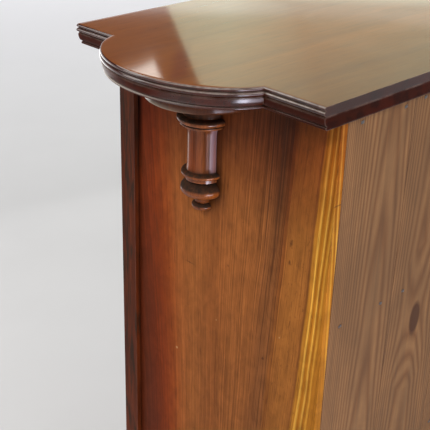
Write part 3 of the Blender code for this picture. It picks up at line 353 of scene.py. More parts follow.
@group(["Vector"], ["Color", "Pores"])
def board_stripes(tree, given, gives):
    """Wide ribbon-striped board: red heart at the front edge, a dark streak and golden sapwood at the back.
    The grain runs along Z and fans out slightly across Y."""
    vector = given["Vector"]
    x, y, up = vector.split()
    across = y + (abs(x) - SIDE_FACE)
    fan = (across * 0.836 - 0.013).maths("MINIMUM", across.spread(0.120, 0.155, 0.054, 0.044))
    lean = fan * (up - 0.75).most(-0.30)
    slow = vector.noise((0.0, 14.0, 5.0))
    line = across - lean + (slow * 0.010 - 0.005)
    grain = point(tree, line, 0.0, up)

    calm = line.window(0.1160, 0.1190, 0.1450, 0.1480)
    ribbons = grain.noise((130.0, 1.0, 2.0), 3, 0.6).spread(0.30, 0.70, 0.86, 1.12)
    ribbons = (calm * 0.5).weigh(ribbons, 1.0)
    sharp = line.spread(-0.020, 0.045) * line.spread(0.122, 0.112, 0.25, 1.0)
    depth = calm * -0.13 + sharp.over(0.22, 0.42)
    hairs = grain.noise((620.0, 1.0, 3.0), 3, 0.70).spread(0.32, 0.68, -1.0, 1.0) * depth + 0.98
    rings = abs(grain.noise((170.0, 1.0, 3.0), 4, 0.62) - 0.5).spread(0.022, 0.004)
    rings = rings * grain.noise((60.0, 1.0, 24.0)).spread(0.42, 0.60)
    streak = abs(line - 0.099).spread(0.040, 0.006, 0.16, 1.0) * line.spread(-0.060, 0.010)
    streak = streak * line.spread(0.1155, 0.1130, 0.10, 1.0) * up.spread(0.62, 0.78, 0.60, 0.92)
    dark_hairs = grain.noise((470.0, 1.0, 4.0), 3, 0.6).spread(0.51, 0.60) * streak
    pores = grain.noise((1150.0, 1.0, 34.0), 2, 0.55).spread(0.57, 0.72)
    mottle = vector.noise((0.0, 70.0, 38.0), 4, 0.62, 0.6).spread(0.36, 0.66, 1.10, 0.84)
    flecks = vector.noise((0.0, 190.0, 95.0), 2, 0.5, 0.8).spread(0.735, 0.79)
    specks = grain.noise((520.0, 1.0, 130.0)).spread(0.62, 0.70) * calm
    # Painted shade under the top: over the dark streak below the straight moulding, with darker streaks in it, redder
    # and darker all along under the top, and at the front edge. The board is also darker towards the bottom.
    streak_shade = abs(line - 0.100).spread(0.062, 0.010) * up.spread(0.76, 0.92, 0.0, 0.78)
    dark_streaks_in_shade = vector.noise((0.0, 200.0, 52.0), 3, 0.6, 0.6).spread(0.56, 0.68) * streak_shade
    red_shade_under_top = (up + slow * 0.06).spread(0.84, 0.93)
    shade_under_top = (up + slow * 0.03).spread(0.815, 0.925) * line.spread(0.108, 0.120, 1.0, 0.55)
    shade_at_front = up.spread(0.83, 0.92) * line.spread(-0.030, -0.070)
    low_down = up.spread(0.69, 0.60) * line.spread(-0.050, 0.0)
    pale_strip = up.spread(0.78, 0.68) * line.window(0.105, 0.109, 0.1145, 0.1160)

    colour = line.spread(-0.1153, 0.174).ramp(BOARD_COLOURS).tinted(ribbons * hairs * mottle)
    # Painted shade under the top and at the front edge, darker towards the bottom, and a paler lower streak.
    colour = colour.tinted((0.42, 0.40, 0.45), streak_shade).tinted((0.90, 0.66, 0.62), red_shade_under_top)
    colour = colour.painted(dark_hairs * 0.80, (0.058, 0.021, 0.009)).painted(dark_streaks_in_shade * 0.62, (0.048, 0.018, 0.008))
    colour = colour.tinted((0.64, 0.69, 0.84), shade_under_top).tinted((0.74, 0.76, 0.80), shade_at_front)
    colour = colour.tinted((0.88, 0.88, 0.90), low_down).tinted((1.26, 1.36, 1.28), pale_strip)
    colour = colour.painted(rings * 0.50, (0.080, 0.024, 0.008)).painted(pores * 0.55, (0.055, 0.016, 0.006))
    colour = colour.painted(flecks * 0.55, (0.060, 0.020, 0.009)).painted(specks * 0.42, (0.090, 0.026, 0.009))
    colour.to(gives["Color"])
    pores.to(gives["Pores"])


@group(["Vector"], ["Ring", "Knot"])
def pine_flames(tree, given, gives):
    """Flat-sawn pine, grain along Z: flame-shaped rings and a few knots, different on each board across X."""
    x, _, z = given["Vector"].split()
    number = (x / PINE_BOARD).maths("FLOOR")
    chance = wires(tree, "ShaderNodeTexWhiteNoise", {"W": number}, noise_dimensions="1D")["Value"]
    along = chance * 3.0 + z
    apart = x - (number + 0.25 + chance * 0.5) * PINE_BOARD
    flat = point(tree, apart * 9.0, along * 4.2, 0.0)
    cell = wires(tree, "ShaderNodeTexVoronoi", {"Vector": flat, "Scale": 1.0}, voronoi_dimensions="2D")
    kept = wires(tree, "ShaderNodeSeparateColor", {"Color": cell["Color"]})["Red"].maths("GREATER_THAN", 0.60)
    swirl = cell["Distance"].spread(0.42, 0.08, 0.0, 2.2) * kept
    curve = (apart / 0.030).maths("POWER", 2.0) * 2.4
    waver = point(tree, apart, 0.0, along).noise((16.0, 1.0, 2.2), 3, 0.5)
    rings = along * 7.0 + curve + (waver * 2.6 + swirl)
    abs(rings.maths("FRACT") - 0.5).spread(0.10, 0.47).to(gives["Ring"])
    (cell["Distance"].spread(0.105, 0.075) * kept).to(gives["Knot"])


@group(["Vector"], ["Dark", "Light"])
def old_dents(tree, given, gives):
    """Knocks and nicks on the right-hand side board, by their places on it."""
    x, y, z = given["Vector"].split()
    ragged = given["Vector"].noise(420, 3, 0.6) * 1.6
    right = x.maths("GREATER_THAN", 0.0)
    for label, places in (("Dark", DARK_DENTS), ("Light", LIGHT_NICKS)):
        total = 0.0
        for middle, height, half_width, half_height in places:
            aside = ((y - middle) / half_width).maths("POWER", 2.0)
            above = ((z - height) / half_height).maths("POWER", 2.0)
            total = (ragged + (aside + above).maths("SQRT")).spread(1.65, 1.05).most(total)
        (total * right).to(gives[label])


# Finishes: each gives a material and the slot that it stands for

def finish(name, **constants):
    """A material with plain values on its shader, and its tree, its shader's inputs and its coordinates."""
    made = bpy.data.materials.new(name)
    made.use_nodes = True
    tree = made.node_tree
    shader = tree.nodes["Principled BSDF"].inputs
    for label, value in constants.items():
        shader[label.replace("_", " ")].default_value = value
    return made, tree, shader, on_piece(tree)


def bumped(tree, shader, height, strength, distance=0.0006):
    bump = {"Height": height, "Strength": strength, "Distance": distance}
    wires(tree, "ShaderNodeBump", bump)["Normal"].to(shader["Normal"])


GRAIN = {"x": (0.05, 1.0, 1.0), "y": (1.0, 0.05, 1.0), "z": (1.0, 1.0, 0.05)}


def mahogany(name, grain, wood, shine, lustre, streaky=0.24, pored=0.55, smoky=0.0, edge_shade_and_highlights=False, dirt_and_shade=None,
             marks=None):
    """French-polished mahogany from its dark and light wood. The lustre (on level faces, on arrises, elsewhere,
    roughness) is the clear polish left on top, and marks adds what is on one piece alone: painted light, and less
    polish."""
    on_level, on_arris, elsewhere, smooth = lustre
    made, tree, shader, place = finish(name, Specular_IOR_Level=shine, Coat_Roughness=smooth)
    figure = use(tree, wood_figure, Vector=place.stretched(GRAIN[grain]))
    colour = figure["Figure"].between(*wood)
    colour = colour.tinted(figure["Streaks"].over(1.0 - streaky, 1.0 + streaky))
    colour = colour.painted(figure["Pores"] * pored, (0.018, 0.006, 0.004))
    if smoky:
        along = place.stretched([max(factor, 0.13) for factor in GRAIN[grain]])
        colour = colour.painted(use(tree, old_smoke, Vector=along, Amount=smoky)["Smoke"], (0.020, 0.011, 0.005))
    wear = use(tree, edge_wear, Radius=0.0025)
    coat = wear["Edge"].over(elsewhere, on_arris)
    if edge_shade_and_highlights:
        edge = use(tree, top_edge_shade_and_highlights, Vector=place)
        # On the top's boards: painted shade on the edges and towards the back, pale paint on arrises that is partly
        # wear and partly a painted highlight, and painted highlights on the bead crests and the lower bead.
        colour = colour.tinted(edge["Color"]).painted(wear["Worn"] * 0.45, (0.230, 0.150, 0.110))
        colour = colour.painted(edge["Crest"], (0.340, 0.270, 0.230)).painted(edge["Rim"], (0.440, 0.390, 0.345))
        coat = coat.most(edge["Kept"])
        on_level = edge["Dulled"].over(on_level, on_level - 0.53)
    else:
        colour = colour.painted(wear["Worn"] * 0.30, (0.260, 0.090, 0.035))
    coat = facing(tree).spread(0.90, 0.99).weigh(coat, on_level)
    # Dirt and painted shade where pieces meet.
    colour = colour.painted(use(tree, corner_dirt_and_shade, Reach=0.006)["Grime"] * 0.65, (0.012, 0.005, 0.003))
    polish = use(tree, rubbed_polish, Vector=place)
    rough = polish["Rub"].over(0.30, 0.40)
    if marks:
        colour, coat = marks(place, colour, coat)
    # Dirt and painted shade: darker faces that look up, and a film of painted shade between given heights.
    if dirt_and_shade:
        dirt_and_shade_mask = use(tree, settled_dirt_and_shade, Vector=place, **dirt_and_shade)["Dirt"]
        colour = colour.painted(dirt_and_shade_mask, (0.024, 0.017, 0.0125))
        rough = dirt_and_shade_mask * 0.42 + rough
        coat = coat * dirt_and_shade_mask.spread(0.0, 0.84, 1.0, 0.0)
    coat.to(shader["Coat Weight"])
    colour.to(shader["Base Color"])
    rough.to(shader["Roughness"])
    bumped(tree, shader, figure["Pores"] * -0.35 + polish["Ripple"], 0.05)
    return made, "dark_mahogany"


def shaft_painted_light(place, colour, coat):
    """Painted light on the pendant's shaft, by the turn round its axis: a painted lilac reflection towards the back, a
    strip of painted shade with less polish next to it, and a lighter strip with less polish where it faces out, which
    is painted light.
    """
    x, y, z = place.split()
    turn = (y - PENDANT_Y).maths("ARCTAN2", abs(x) - SIDE_FACE)
    shaft = z.window(*SHAFT)
    # A painted lilac reflection, a strip of painted shade and a strip of painted light on the shaft.
    lilac_sheen = turn.spread(1.06, 1.24, 0.0, 0.41) * turn.spread(1.26, 1.42, 1.0, 0.6) * shaft
    dark_strip = turn.window(0.66, 0.78, 1.07, 1.17) * shaft
    light_strip = turn.window(-0.36, -0.27, 0.22, 0.34) * shaft
    colour = colour.painted(lilac_sheen, (0.480, 0.360, 0.430)).painted(dark_strip * 0.34, (0.030, 0.008, 0.003))
    coat = coat * dark_strip.over(1.0, 0.12) * light_strip.over(1.0, 0.30)
    return colour.tinted((1.28, 1.16, 1.10), light_strip), coat


def corbel_painted_highlight(place, colour, coat):
    """A painted pale highlight on the front of the corbel's foot, and less polish behind it and on its wall."""
    _, y, z = place.split()
    # Painted highlight: pale paint along the front of the corbel's foot.
    pale = y.spread(0.034, -0.020, 0.0, 0.66) * y.spread(-0.058, -0.046) * z.spread(0.9265, 0.9222, 0.0, 1.40)
    coat = coat * y.spread(0.034, 0.046, 1.0, 0.35) * z.spread(0.9285, 0.9245, 0.30, 1.0)
    return colour.painted(pale, (0.330, 0.245, 0.150)), coat


def striped_wood(name, turn, shift, dented=False):
    """Figured side or panel board with a thinner, satin polish."""
    made, tree, shader, place = finish(name, Specular_IOR_Level=0.04)
    laid = {"Vector": place, "Rotation": (0.0, 0.0, turn), "Location": shift}
    wood = use(tree, board_stripes, Vector=wires(tree, "ShaderNodeMapping", laid)["Vector"])
    # Dirt and painted shade where pieces meet.
    colour = wood["Color"].painted(use(tree, corner_dirt_and_shade, Reach=0.016)["Grime"] * 0.85, (0.010, 0.004, 0.003))
    height = wood["Pores"] * -0.6
    if dented:
        dents = use(tree, old_dents, Vector=place)
        colour = colour.painted(dents["Dark"] * 0.62, (0.045, 0.016, 0.008))
        colour = colour.painted(dents["Light"] * 0.70, (0.520, 0.330, 0.150))
        height = dents["Dark"] * -1.5 + height
        _, y, z = place.split()
        # Painted shade: a near-black band by the front stile that fades down from under the top, partly a dark joint,
        # and a painted shadow of the pendant on its rear side, stronger by the ball.
        joint_and_shade = y.spread(-0.1060, -0.1125) * z.spread(0.78, 0.88, 0.0, 0.90)
        pendant_shadow = y.window(*PENDANT_SHADOW_Y) * z.window(*PENDANT_SHADOW_Z) * z.spread(0.848, 0.828, 0.44, 0.80)
        colour = colour.painted(joint_and_shade, (0.008, 0.003, 0.002)).painted(pendant_shadow, (0.014, 0.005, 0.003))
    colour.to(shader["Base Color"])
    polish = use(tree, rubbed_polish, Vector=place)
    polish["Rub"].over(0.30, 0.44).to(shader["Roughness"])
    bumped(tree, shader, height + polish["Ripple"], 0.12)
    return made, "striped_mahogany"


def plain_wood(name, grain, dust):
    """Inside woods, oiled or bare, with dust and stains."""
    made, tree, shader, place = finish(name, Specular_IOR_Level=0.30)
    wood = use(tree, wood_figure, Vector=place.stretched(GRAIN[grain]))
    colour = wood["Figure"].between((0.170, 0.075, 0.034), (0.290, 0.145, 0.070))
    colour = colour.tinted(wood["Streaks"].over(0.74, 1.24))
    colour = colour.painted(wood["Pores"] * 0.35, (0.060, 0.028, 0.014))
    stains = place.noise(7, 4, 0.65, 0.8).spread(0.52, 0.72)
    colour = colour.painted(stains * 0.35, (0.075, 0.036, 0.018))
    # Dirt and painted shade where pieces meet.
    colour = colour.painted(use(tree, corner_dirt_and_shade, Reach=0.020)["Grime"] * 0.60, (0.030, 0.016, 0.010))
    colour = colour.painted(use(tree, settled_dust, Amount=dust)["Dust"], (0.300, 0.270, 0.230))
    colour.to(shader["Base Color"])
    use(tree, rubbed_polish, Vector=place)["Rub"].over(0.50, 0.72).to(shader["Roughness"])
    bumped(tree, shader, wood["Pores"] * -0.8 + wood["Streaks"], 0.18)
    return made, "shelf_wood"


def bare_pine(name, turn):
    """Unfinished pine gone brown with age, with knots, saw marks, damp stains and dust."""
    made, tree, shader, place = finish(name, Specular_IOR_Level=0.20)
    turned = wires(tree, "ShaderNodeMapping", {"Vector": place, "Rotation": (0.0, turn, 0.0)})["Vector"]
    flames = use(tree, pine_flames, Vector=turned)
    wood = use(tree, wood_figure, Vector=turned.stretched(GRAIN["z"]))
    colour = flames["Ring"].between((0.232, 0.116, 0.046), (0.150, 0.066, 0.025))
    colour = colour.tinted(wood["Streaks"].over(0.78, 1.20))
    darker_patch = place.noise(6, 5, 0.65, 0.8).spread(0.35, 0.70)
    colour = colour.painted(darker_patch * 0.55, (0.090, 0.046, 0.021))
    colour = colour.painted(flames["Knot"] * 0.85, (0.046, 0.017, 0.008))
    # Dirt and painted shade where pieces meet.
    colour = colour.painted(use(tree, corner_dirt_and_shade, Reach=0.020)["Grime"] * 0.70, (0.024, 0.014, 0.009))
    colour = colour.painted(use(tree, settled_dust, Amount=0.35)["Dust"], (0.260, 0.235, 0.200))
    colour.to(shader["Base Color"])
    wood["Streaks"].over(0.62, 0.82).to(shader["Roughness"])
    saw = turned.noise((14.0, 14.0, 700.0))
    bumped(tree, shader, flames["Ring"] * 0.8 + saw * 0.5, 0.22)
    return made, "back_pine"


def aged_brass():
    made, tree, shader, place = finish("aged_brass", Metallic=1.0)
    tarnish = place.noise(130, 5, 0.65, 0.4).spread(0.40, 0.66)
    colour = tarnish.between((0.640, 0.420, 0.150), (0.330, 0.200, 0.075))
    colour = colour.painted(use(tree, edge_wear, Radius=0.0008)["Worn"] * 0.70, (0.860, 0.640, 0.300))
    colour = colour.painted(use(tree, corner_dirt_and_shade, Reach=0.004)["Grime"] * 0.80, (0.040, 0.026, 0.014))
    colour.to(shader["Base Color"])
    tarnish.over(0.22, 0.46).to(shader["Roughness"])
    bumped(tree, shader, place.noise(1400, 3, 0.6), 0.06, 0.0003)
    return made, "brass"


def old_iron():
    made, tree, shader, place = finish("old_iron")
    rust = place.noise(190, 6, 0.7, 0.5).spread(0.50, 0.68)
    colour = rust.between((0.150, 0.140, 0.135), (0.110, 0.045, 0.022))
    colour = colour.painted(use(tree, edge_wear, Radius=0.0008)["Worn"] * 0.60, (0.340, 0.330, 0.320))
    colour.to(shader["Base Color"])
    rust.over(1.0, 0.25).to(shader["Metallic"])
    rust.over(0.36, 0.70).to(shader["Roughness"])
    bumped(tree, shader, place.noise(900, 4, 0.65), 0.10, 0.0004)
    return made, "iron"


TOP_WOOD = ((0.180, 0.045, 0.002), (0.235, 0.064, 0.003))
TURNED_WOOD = ((0.145, 0.034, 0.007), (0.310, 0.087, 0.016))
# The corbels' wood is a darker copy of the turned wood: painted shade under the top.
CORBEL_SHADED_WOOD = ((0.050, 0.013, 0.004), (0.110, 0.030, 0.009))
FRAME_WOOD = ((0.055, 0.010, 0.003), (0.135, 0.027, 0.006))
TOP_LUSTRE = (0.98, 0.55, 0.15, 0.06)
EDGE_LUSTRE = (0.95, 0.55, 0.10, 0.17)
TURNED_LUSTRE = (0.70, 0.80, 0.62, 0.12)
FRAME_LUSTRE = (0.20, 0.40, 0.05, 0.16)
# Painted shade on the pendant's neck, with dirt and painted shade on faces that look up; painted shade on the stiles'
# tops under the top.
NECK_DIRT_AND_SHADE = {"SoilAndShade": 0.97, "Low": 0.9000, "High": 0.9020, "Most": 0.82}
FRAME_TOP_SHADE = {"SoilAndShade": 0.0, "Low": 0.78, "High": 0.93, "Most": 0.42}
TOP_LOOK = {"streaky": 0.08, "pored": 0.30, "edge_shade_and_highlights": True}
FRAME = (FRAME_WOOD, 0.05, FRAME_LUSTRE, 0.36)
FINISHES = {
    "top": mahogany("polished_top_mahogany", "x", TOP_WOOD, 0.02, TOP_LUSTRE, **TOP_LOOK),
    "moulded": mahogany("moulded_edge_mahogany", "x", TOP_WOOD, 0.02, EDGE_LUSTRE, **TOP_LOOK),
    "turned": mahogany("turned_mahogany", "z", TURNED_WOOD, 0.04, TURNED_LUSTRE, 0.46, dirt_and_shade=NECK_DIRT_AND_SHADE,
                       marks=shaft_painted_light),
    "corbel": mahogany("corbel_mahogany", "z", CORBEL_SHADED_WOOD, 0.04, TURNED_LUSTRE, marks=corbel_painted_highlight),
    "upright": mahogany("upright_mahogany", "z", *FRAME, smoky=0.85, dirt_and_shade=FRAME_TOP_SHADE),
    "across": mahogany("cross_mahogany", "x", *FRAME, smoky=0.60),
    "along": mahogany("lengthwise_mahogany", "y", *FRAME, smoky=0.60),
    "side": striped_wood("striped_side_mahogany", 0.0, (0.0, 0.0, 0.0), dented=True),
    "panel": striped_wood("striped_panel_mahogany", math.pi / 2, (0.0, -0.010, 0.0)),
    "shelf": plain_wood("shelf_wood", "x", 0.35),
    "batten": plain_wood("batten_wood", "y", 0.20),
    "pine": bare_pine("back_pine", 0.0),
    "pine_across": bare_pine("plinth_pine", math.pi / 2),
    "brass": aged_brass(),
    "iron": old_iron(),
}


# Pieces

def baked(name, bm):
    mesh = bpy.data.meshes.new(name)
    bm.to_mesh(mesh)
    bm.free()
    return mesh


def placed(name, data):
    made = bpy.data.objects.new(name, data)
    bpy.context.scene.collection.objects.link(made)
    return made


def piece(name, bm, body, kind, *nodes, sharp=35):
    """Makes a shaped bmesh a piece that rides on a body and stands for these nodes."""
    bmesh.ops.remove_doubles(bm, verts=bm.verts, dist=WELD)
    bmesh.ops.recalc_face_normals(bm, faces=bm.faces)
    mesh = baked(name, bm)
    material, slot = FINISHES[kind]
    mesh.materials.append(material)
    mesh.shade_smooth()
    mesh.set_sharp_from_angle(angle=math.radians(sharp))
    made = placed(name, mesh)
    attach(made, body)
    if nodes:
        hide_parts(*nodes)
    return made


def bevel(bm, edges, offset, segments=2, clamp=False):
    bmesh.ops.bevel(
        bm, geom=edges, offset=offset, offset_type="OFFSET", segments=segments, profile=0.5, affect="EDGES",
        material=-1, clamp_overlap=clamp,
    )


def eased(node, body, kind, ease, segments=3, shortest=0.010):
    """A node's board with its arrises eased with plane and glasspaper."""
    bm = bmesh.new()
    bm.from_mesh(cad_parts[node].data)
    bmesh.ops.remove_doubles(bm, verts=bm.verts, dist=WELD)
    bmesh.ops.dissolve_limit(bm, angle_limit=math.radians(1), verts=bm.verts, edges=bm.edges)
    arrises = [
        edge for edge in bm.edges
        if edge.is_manifold and edge.is_convex and edge.calc_face_angle() > math.radians(30)
        and edge.calc_length() > shortest
    ]
    bevel(bm, arrises, ease, segments, clamp=True)
    made = piece(f"{node}_eased", bm, body, kind, node)
    made.modifiers.new("even_shading", "WEIGHTED_NORMAL").keep_sharp = True


def strand(bm, points, closed=False):
    """Joins points by edges in a row or a ring; gives the vertices and the edges."""
    verts = [bm.verts.new(point) for point in points]
    following = verts[1:] + verts[:1] if closed else verts[1:]
    return verts, [bm.edges.new(pair) for pair in zip(verts, following)]


def edges_of(verts):
    return list(dict.fromkeys(edge for vert in verts for edge in vert.link_edges))


def full_turn(bm, geom, middle, axis, steps):
    """Spins an outline all the way round an axis."""
    bmesh.ops.spin(bm, geom=geom, cent=middle, axis=axis, angle=2 * math.pi, steps=steps, use_merge=True)


def lobed_outline(inset):
    """Outline of the top drawn in by an inset on the front, sides and lobes, but not at the back."""
    side = SIDE_FACE + SIDE_OVERHANG - inset
    front = TOP_FRONT + inset
    reach = LOBE_REACH - inset
    half_length = LOBE_HALF_LENGTH - inset
    corner = math.acos((SIDE_OVERHANG - inset - LOBE_CENTRE_OUT) / reach)
    turns = [corner * (2 * i / LOBE_STEPS - 1) for i in range(LOBE_STEPS + 1)]
    lobe = [
        (SIDE_FACE + LOBE_CENTRE_OUT + reach * math.cos(a), PENDANT_Y + half_length * math.sin(a)) for a in turns
    ]
    right = [(side - CORNER_EASE, front), (side, front + CORNER_EASE), *lobe, (side, TOP_BACK)]
    return right + [(-x, y) for x, y in reversed(right)]


def sweep(start, end, steps):
    """Evenly spaced angles, in radians, between two angles in degrees."""
    return [math.radians(start + (end - start) * i / steps) for i in range(steps + 1)]


def edge_bead(outermost, middle, radius, start=0, end=180):
    """Half-round of an edge, as (inset, drop) points."""
    return [
        (outermost + radius * (1 - math.sin(a)), middle - radius * math.cos(a)) for a in sweep(start, end, 12)
    ]


def moulded_board(name, node, edge, top, kind):
    """A lobed board whose edge follows (inset, drop) points, top to bottom."""
    bm = bmesh.new()
    rings = [
        strand(bm, [(x, y, top - drop) for x, y in lobed_outline(inset)], closed=True)[1] for inset, drop in edge
    ]
    for upper, lower in zip(rings, rings[1:]):
        bmesh.ops.bridge_loops(bm, edges=upper + lower)
    bmesh.ops.edgeloop_fill(bm, edges=rings[0])
    bmesh.ops.edgeloop_fill(bm, edges=rings[-1])
    piece(name, bm, "carcass", kind, node, sharp=28)


def top_boards():
    """Two beads on the upper edge, a fillet, broad ovolo and small bead on the lower one."""
    upper = [
        (0.0060, 0.0),
        *edge_bead(0.0003, 0.0021, 0.0021, 0, 160),
        (0.0022, 0.0042),
        *edge_bead(0.0, 0.0069, 0.0024, 15, 165),
        (0.0022, 0.0100),
        (0.0060, 0.0100),
    ]
    ovolo = [(0.0013 + 0.00312 * (1 - math.cos(a)), 0.00091 + 0.00806 * math.sin(a)) for a in sweep(0, 90, 14)]
    under = [
        (0.0060, 0.0),
        (0.00182, 0.0),
        (0.00182, 0.00091),
        *ovolo,
        (0.00494, 0.00897),
        *edge_bead(0.00364, 0.011115, 0.001625, 15, 165),
        (0.00546, 0.0130),
        (0.0090, 0.0130),
    ]
    moulded_board("top_board_moulded", "top_board", upper, TOP, "top")
    moulded_board("top_under_board_moulded", "top_under_board", under, UNDER_TOP, "moulded")


def half_turning(name, node, kind, profile, sign, steps):
    """A turning sawn in half and glued to a side board; profile is (radius, height), top to bottom."""
    bm = bmesh.new()
    face = sign * (SIDE_FACE + FIT)
    verts, edges = strand(bm, [(face, PENDANT_Y - radius, height) for radius, height in profile])
    bmesh.ops.spin(
        bm, geom=verts + edges, cent=(face, PENDANT_Y, 0.0), axis=UP, angle=sign * math.pi, steps=steps,
    )
    bmesh.ops.remove_doubles(bm, verts=bm.verts, dist=WELD)
    bmesh.ops.edgeloop_fill(bm, edges=[edge for edge in bm.edges if edge.is_boundary])
    piece(name, bm, "carcass", kind, node, sharp=40)


def bead(radius, height, size, steps=10):
    """Half-round of a turning, as (radius, height) points."""
    return [(radius - size + size * math.cos(a), height + size * math.sin(a)) for a in sweep(90, -90, steps)]


def hollow(start, end, steps=10):
    """Quarter hollow of a turning between two points."""
    (r0, z0), (r1, z1) = start, end
    return [
        (r1 + (r0 - r1) * (1 - math.sin(a)), z0 + (z1 - z0) * (1 - math.cos(a))) for a in sweep(0, 90, steps)
    ]


def turnings():
    """Half-round corbels under the lobes, and pendants with a cap, shaft, collar, ball and button."""
    foot = TOP - 0.0444
    radius, ease = 0.0653, 0.003
    rounding = [(radius - ease + ease * math.cos(a), foot + ease + ease * math.sin(a)) for a in sweep(0, -90, 8)]
    corbel = [(0.0, CARCASS_TOP), (radius, CARCASS_TOP), *rounding, (0.0, foot)]
    cap = TOP - 0.0687
    lower_cap = cap - 0.0037 - 0.0019
    shaft_start = lower_cap - 0.0019
    shaft_end = TOP - 0.1180
    collar = TOP - 0.1310
    ball = TOP - 0.1495
    button = TOP - 0.1710
    flare = [
        (0.0185 + 0.0013 * (1 - math.cos(a)), shaft_end + (collar + 0.0030 - shaft_end) * math.sin(a))
        for a in sweep(0, 90, 10)[:-1]
    ]
    ball_curve = [(0.0255 * math.cos(a), ball + 0.0125 * math.sin(a)) for a in sweep(58, -54, 20)]
    button_curve = [(0.0127 * math.cos(a), button + 0.0062 * math.sin(a)) for a in sweep(45, -90, 16)[:-1]]
    pendant = [
        (0.0, foot - FIT),
        (0.0237, foot - FIT),
        (0.0237, cap + 0.0040),
        *bead(0.0303, cap, 0.0037),
        *bead(0.0270, lower_cap, 0.0019)[1:],
        *hollow((0.0212, shaft_start - FIT), (0.0185, shaft_start - 0.0110)),
        *flare,
        *bead(0.0248, collar, 0.0030),
        (0.0204, collar - 0.0036),
        (0.0204, ball_curve[0][1] + 0.0006),
        *ball_curve[1:],
        (0.0099, (ball_curve[-1][1] + button_curve[0][1]) / 2),
        *button_curve,
        (0.0, button - 0.0062),
    ]
    for side, sign in SIDES.items():
        half_turning(f"corbel_{side}_turned", f"corbel_{side}", "corbel", corbel, sign, 72)
        half_turning(f"pendant_{side}_turned", f"pendant_{side}", "turned", pendant, sign, 64)


def boards():
    """Carcass boards with their arrises taken off."""
    for side in SIDES:
        for name, kind, ease in (
            ("side_board", "side", 0.0008), ("front_stile", "upright", 0.0014), ("plinth", "along", 0.0012),
            ("base_moulding", "along", 0.0004), ("top_batten", "batten", 0.0010),
            ("plinth_block_front", "pine", 0.0010), ("plinth_block_rear", "pine", 0.0010),
        ):
            eased(f"{name}_{side}", "carcass", kind, ease)
    for name, kind, ease in (
        ("front_top_rail", "across", 0.0010), ("front_bottom_rail", "across", 0.0010),
        ("plinth_front", "across", 0.0012), ("base_moulding_front", "across", 0.0004),
        ("plinth_rear", "pine_across", 0.0012), ("bottom_board", "shelf", 0.0012), ("door_stop", "shelf", 0.0010),
    ):
        eased(name, "carcass", kind, ease)
    for number in range(1, 7):
        eased(f"shelf_{number}", "carcass", "shelf", 0.0024, 5)
    for number in range(1, 5):
        eased(f"back_board_{number}", "carcass", "pine", 0.0016)


def door():
    """Framed door with its panel and the mouldings round it."""
    for name, kind, ease in (
        ("hinge_stile", "upright", 0.0010), ("lock_stile", "upright", 0.0010), ("top_rail", "across", 0.0010),
        ("bottom_rail", "across", 0.0010), ("panel", "panel", 0.0006), ("moulding_top", "across", 0.0003),
        ("moulding_bottom", "across", 0.0003), ("moulding_left", "upright", 0.0003),
        ("moulding_right", "upright", 0.0003),
    ):
        eased(f"door_{name}", "door", kind, ease)


def turn_on(bm, profile, at, out, steps=40):
    """Adds a turned solid; its profile is (radius, reach) from axis to axis, reach running out of a point."""
    at, out = Vector(at), Vector(out)
    side = out.orthogonal().normalized()
    verts, edges = strand(bm, [at + out * reach + side * radius for radius, reach in profile])
    full_turn(bm, verts + edges, at, out, steps)


def slotted_head(radius):
    """Mesh of a countersunk screw's head, looking up, with its driver slot."""
    bm = bmesh.new()
    bmesh.ops.create_cone(
        bm, cap_ends=True, segments=20, radius1=radius, radius2=radius * 0.94, depth=radius * 0.5,
    )
    half_slot = radius * 0.14
    for side in (-1, 1):
        bmesh.ops.bisect_plane(
            bm, geom=bm.verts[:] + bm.edges[:] + bm.faces[:], plane_co=(side * half_slot, 0.0, 0.0),
            plane_no=(1.0, 0.0, 0.0),
        )
    strip = [
        face for face in bm.faces
        if face.normal.z > 0.9 and abs(face.calc_center_median().x) < half_slot
    ]
    sunk = bmesh.ops.extrude_face_region(bm, geom=strip)["geom"]
    bmesh.ops.delete(bm, geom=strip, context="FACES_ONLY")
    points = [item for item in sunk if isinstance(item, bmesh.types.BMVert)]
    bmesh.ops.translate(bm, verts=points, vec=(0.0, 0.0, -radius * 0.30))
    return baked("slotted_head", bm)


def screws(name, body, kind, radius, proud, out, places):
    """Slotted screws that look out of a plate, each with its slot at its own angle."""
    head = slotted_head(radius)
    bm = bmesh.new()
    facing = Vector(out).to_track_quat("Z", "Y").to_matrix().to_4x4()
    for number, place in enumerate(places):
        start = len(bm.verts)
        bm.from_mesh(head)
        bm.verts.ensure_lookup_table()
        depth = Vector(out) * (proud - radius * 0.25)
        turn = Matrix.Rotation(0.5 + 2.1 * number, 4, "Z")
        matrix = Matrix.Translation(Vector(place) + depth) @ facing @ turn
        bmesh.ops.transform(bm, matrix=matrix, verts=bm.verts[start:])
    bpy.data.meshes.remove(head)
    piece(name, bm, body, kind, sharp=25)


def nails():
    """Cut-nail heads that hold the back boards to the shelves, the bottom and the top."""
    bm = bmesh.new()
    for board in range(4):
        middle = (board - 1.5) * PINE_BOARD
        for row, height in enumerate(NAIL_HEIGHTS):
            for side in (-1, 1):
                slip = 0.004 * math.sin(5.1 * board + 3.7 * row + side)
                at = Matrix.Translation((middle + side * NAIL_ASIDE + slip, BACK_FACE + 0.0001, height + slip * 0.4))
                turn = Matrix.Rotation(0.3 * math.sin(2.3 * board + 1.9 * row + side), 4, "Y")
                size = Matrix.Diagonal((*NAIL_HEAD, 1.0))
                bmesh.ops.create_cube(bm, size=1.0, matrix=at @ turn @ size)
    bevel(bm, bm.edges[:], 0.00025)
    piece("back_nails", bm, "carcass", "iron")


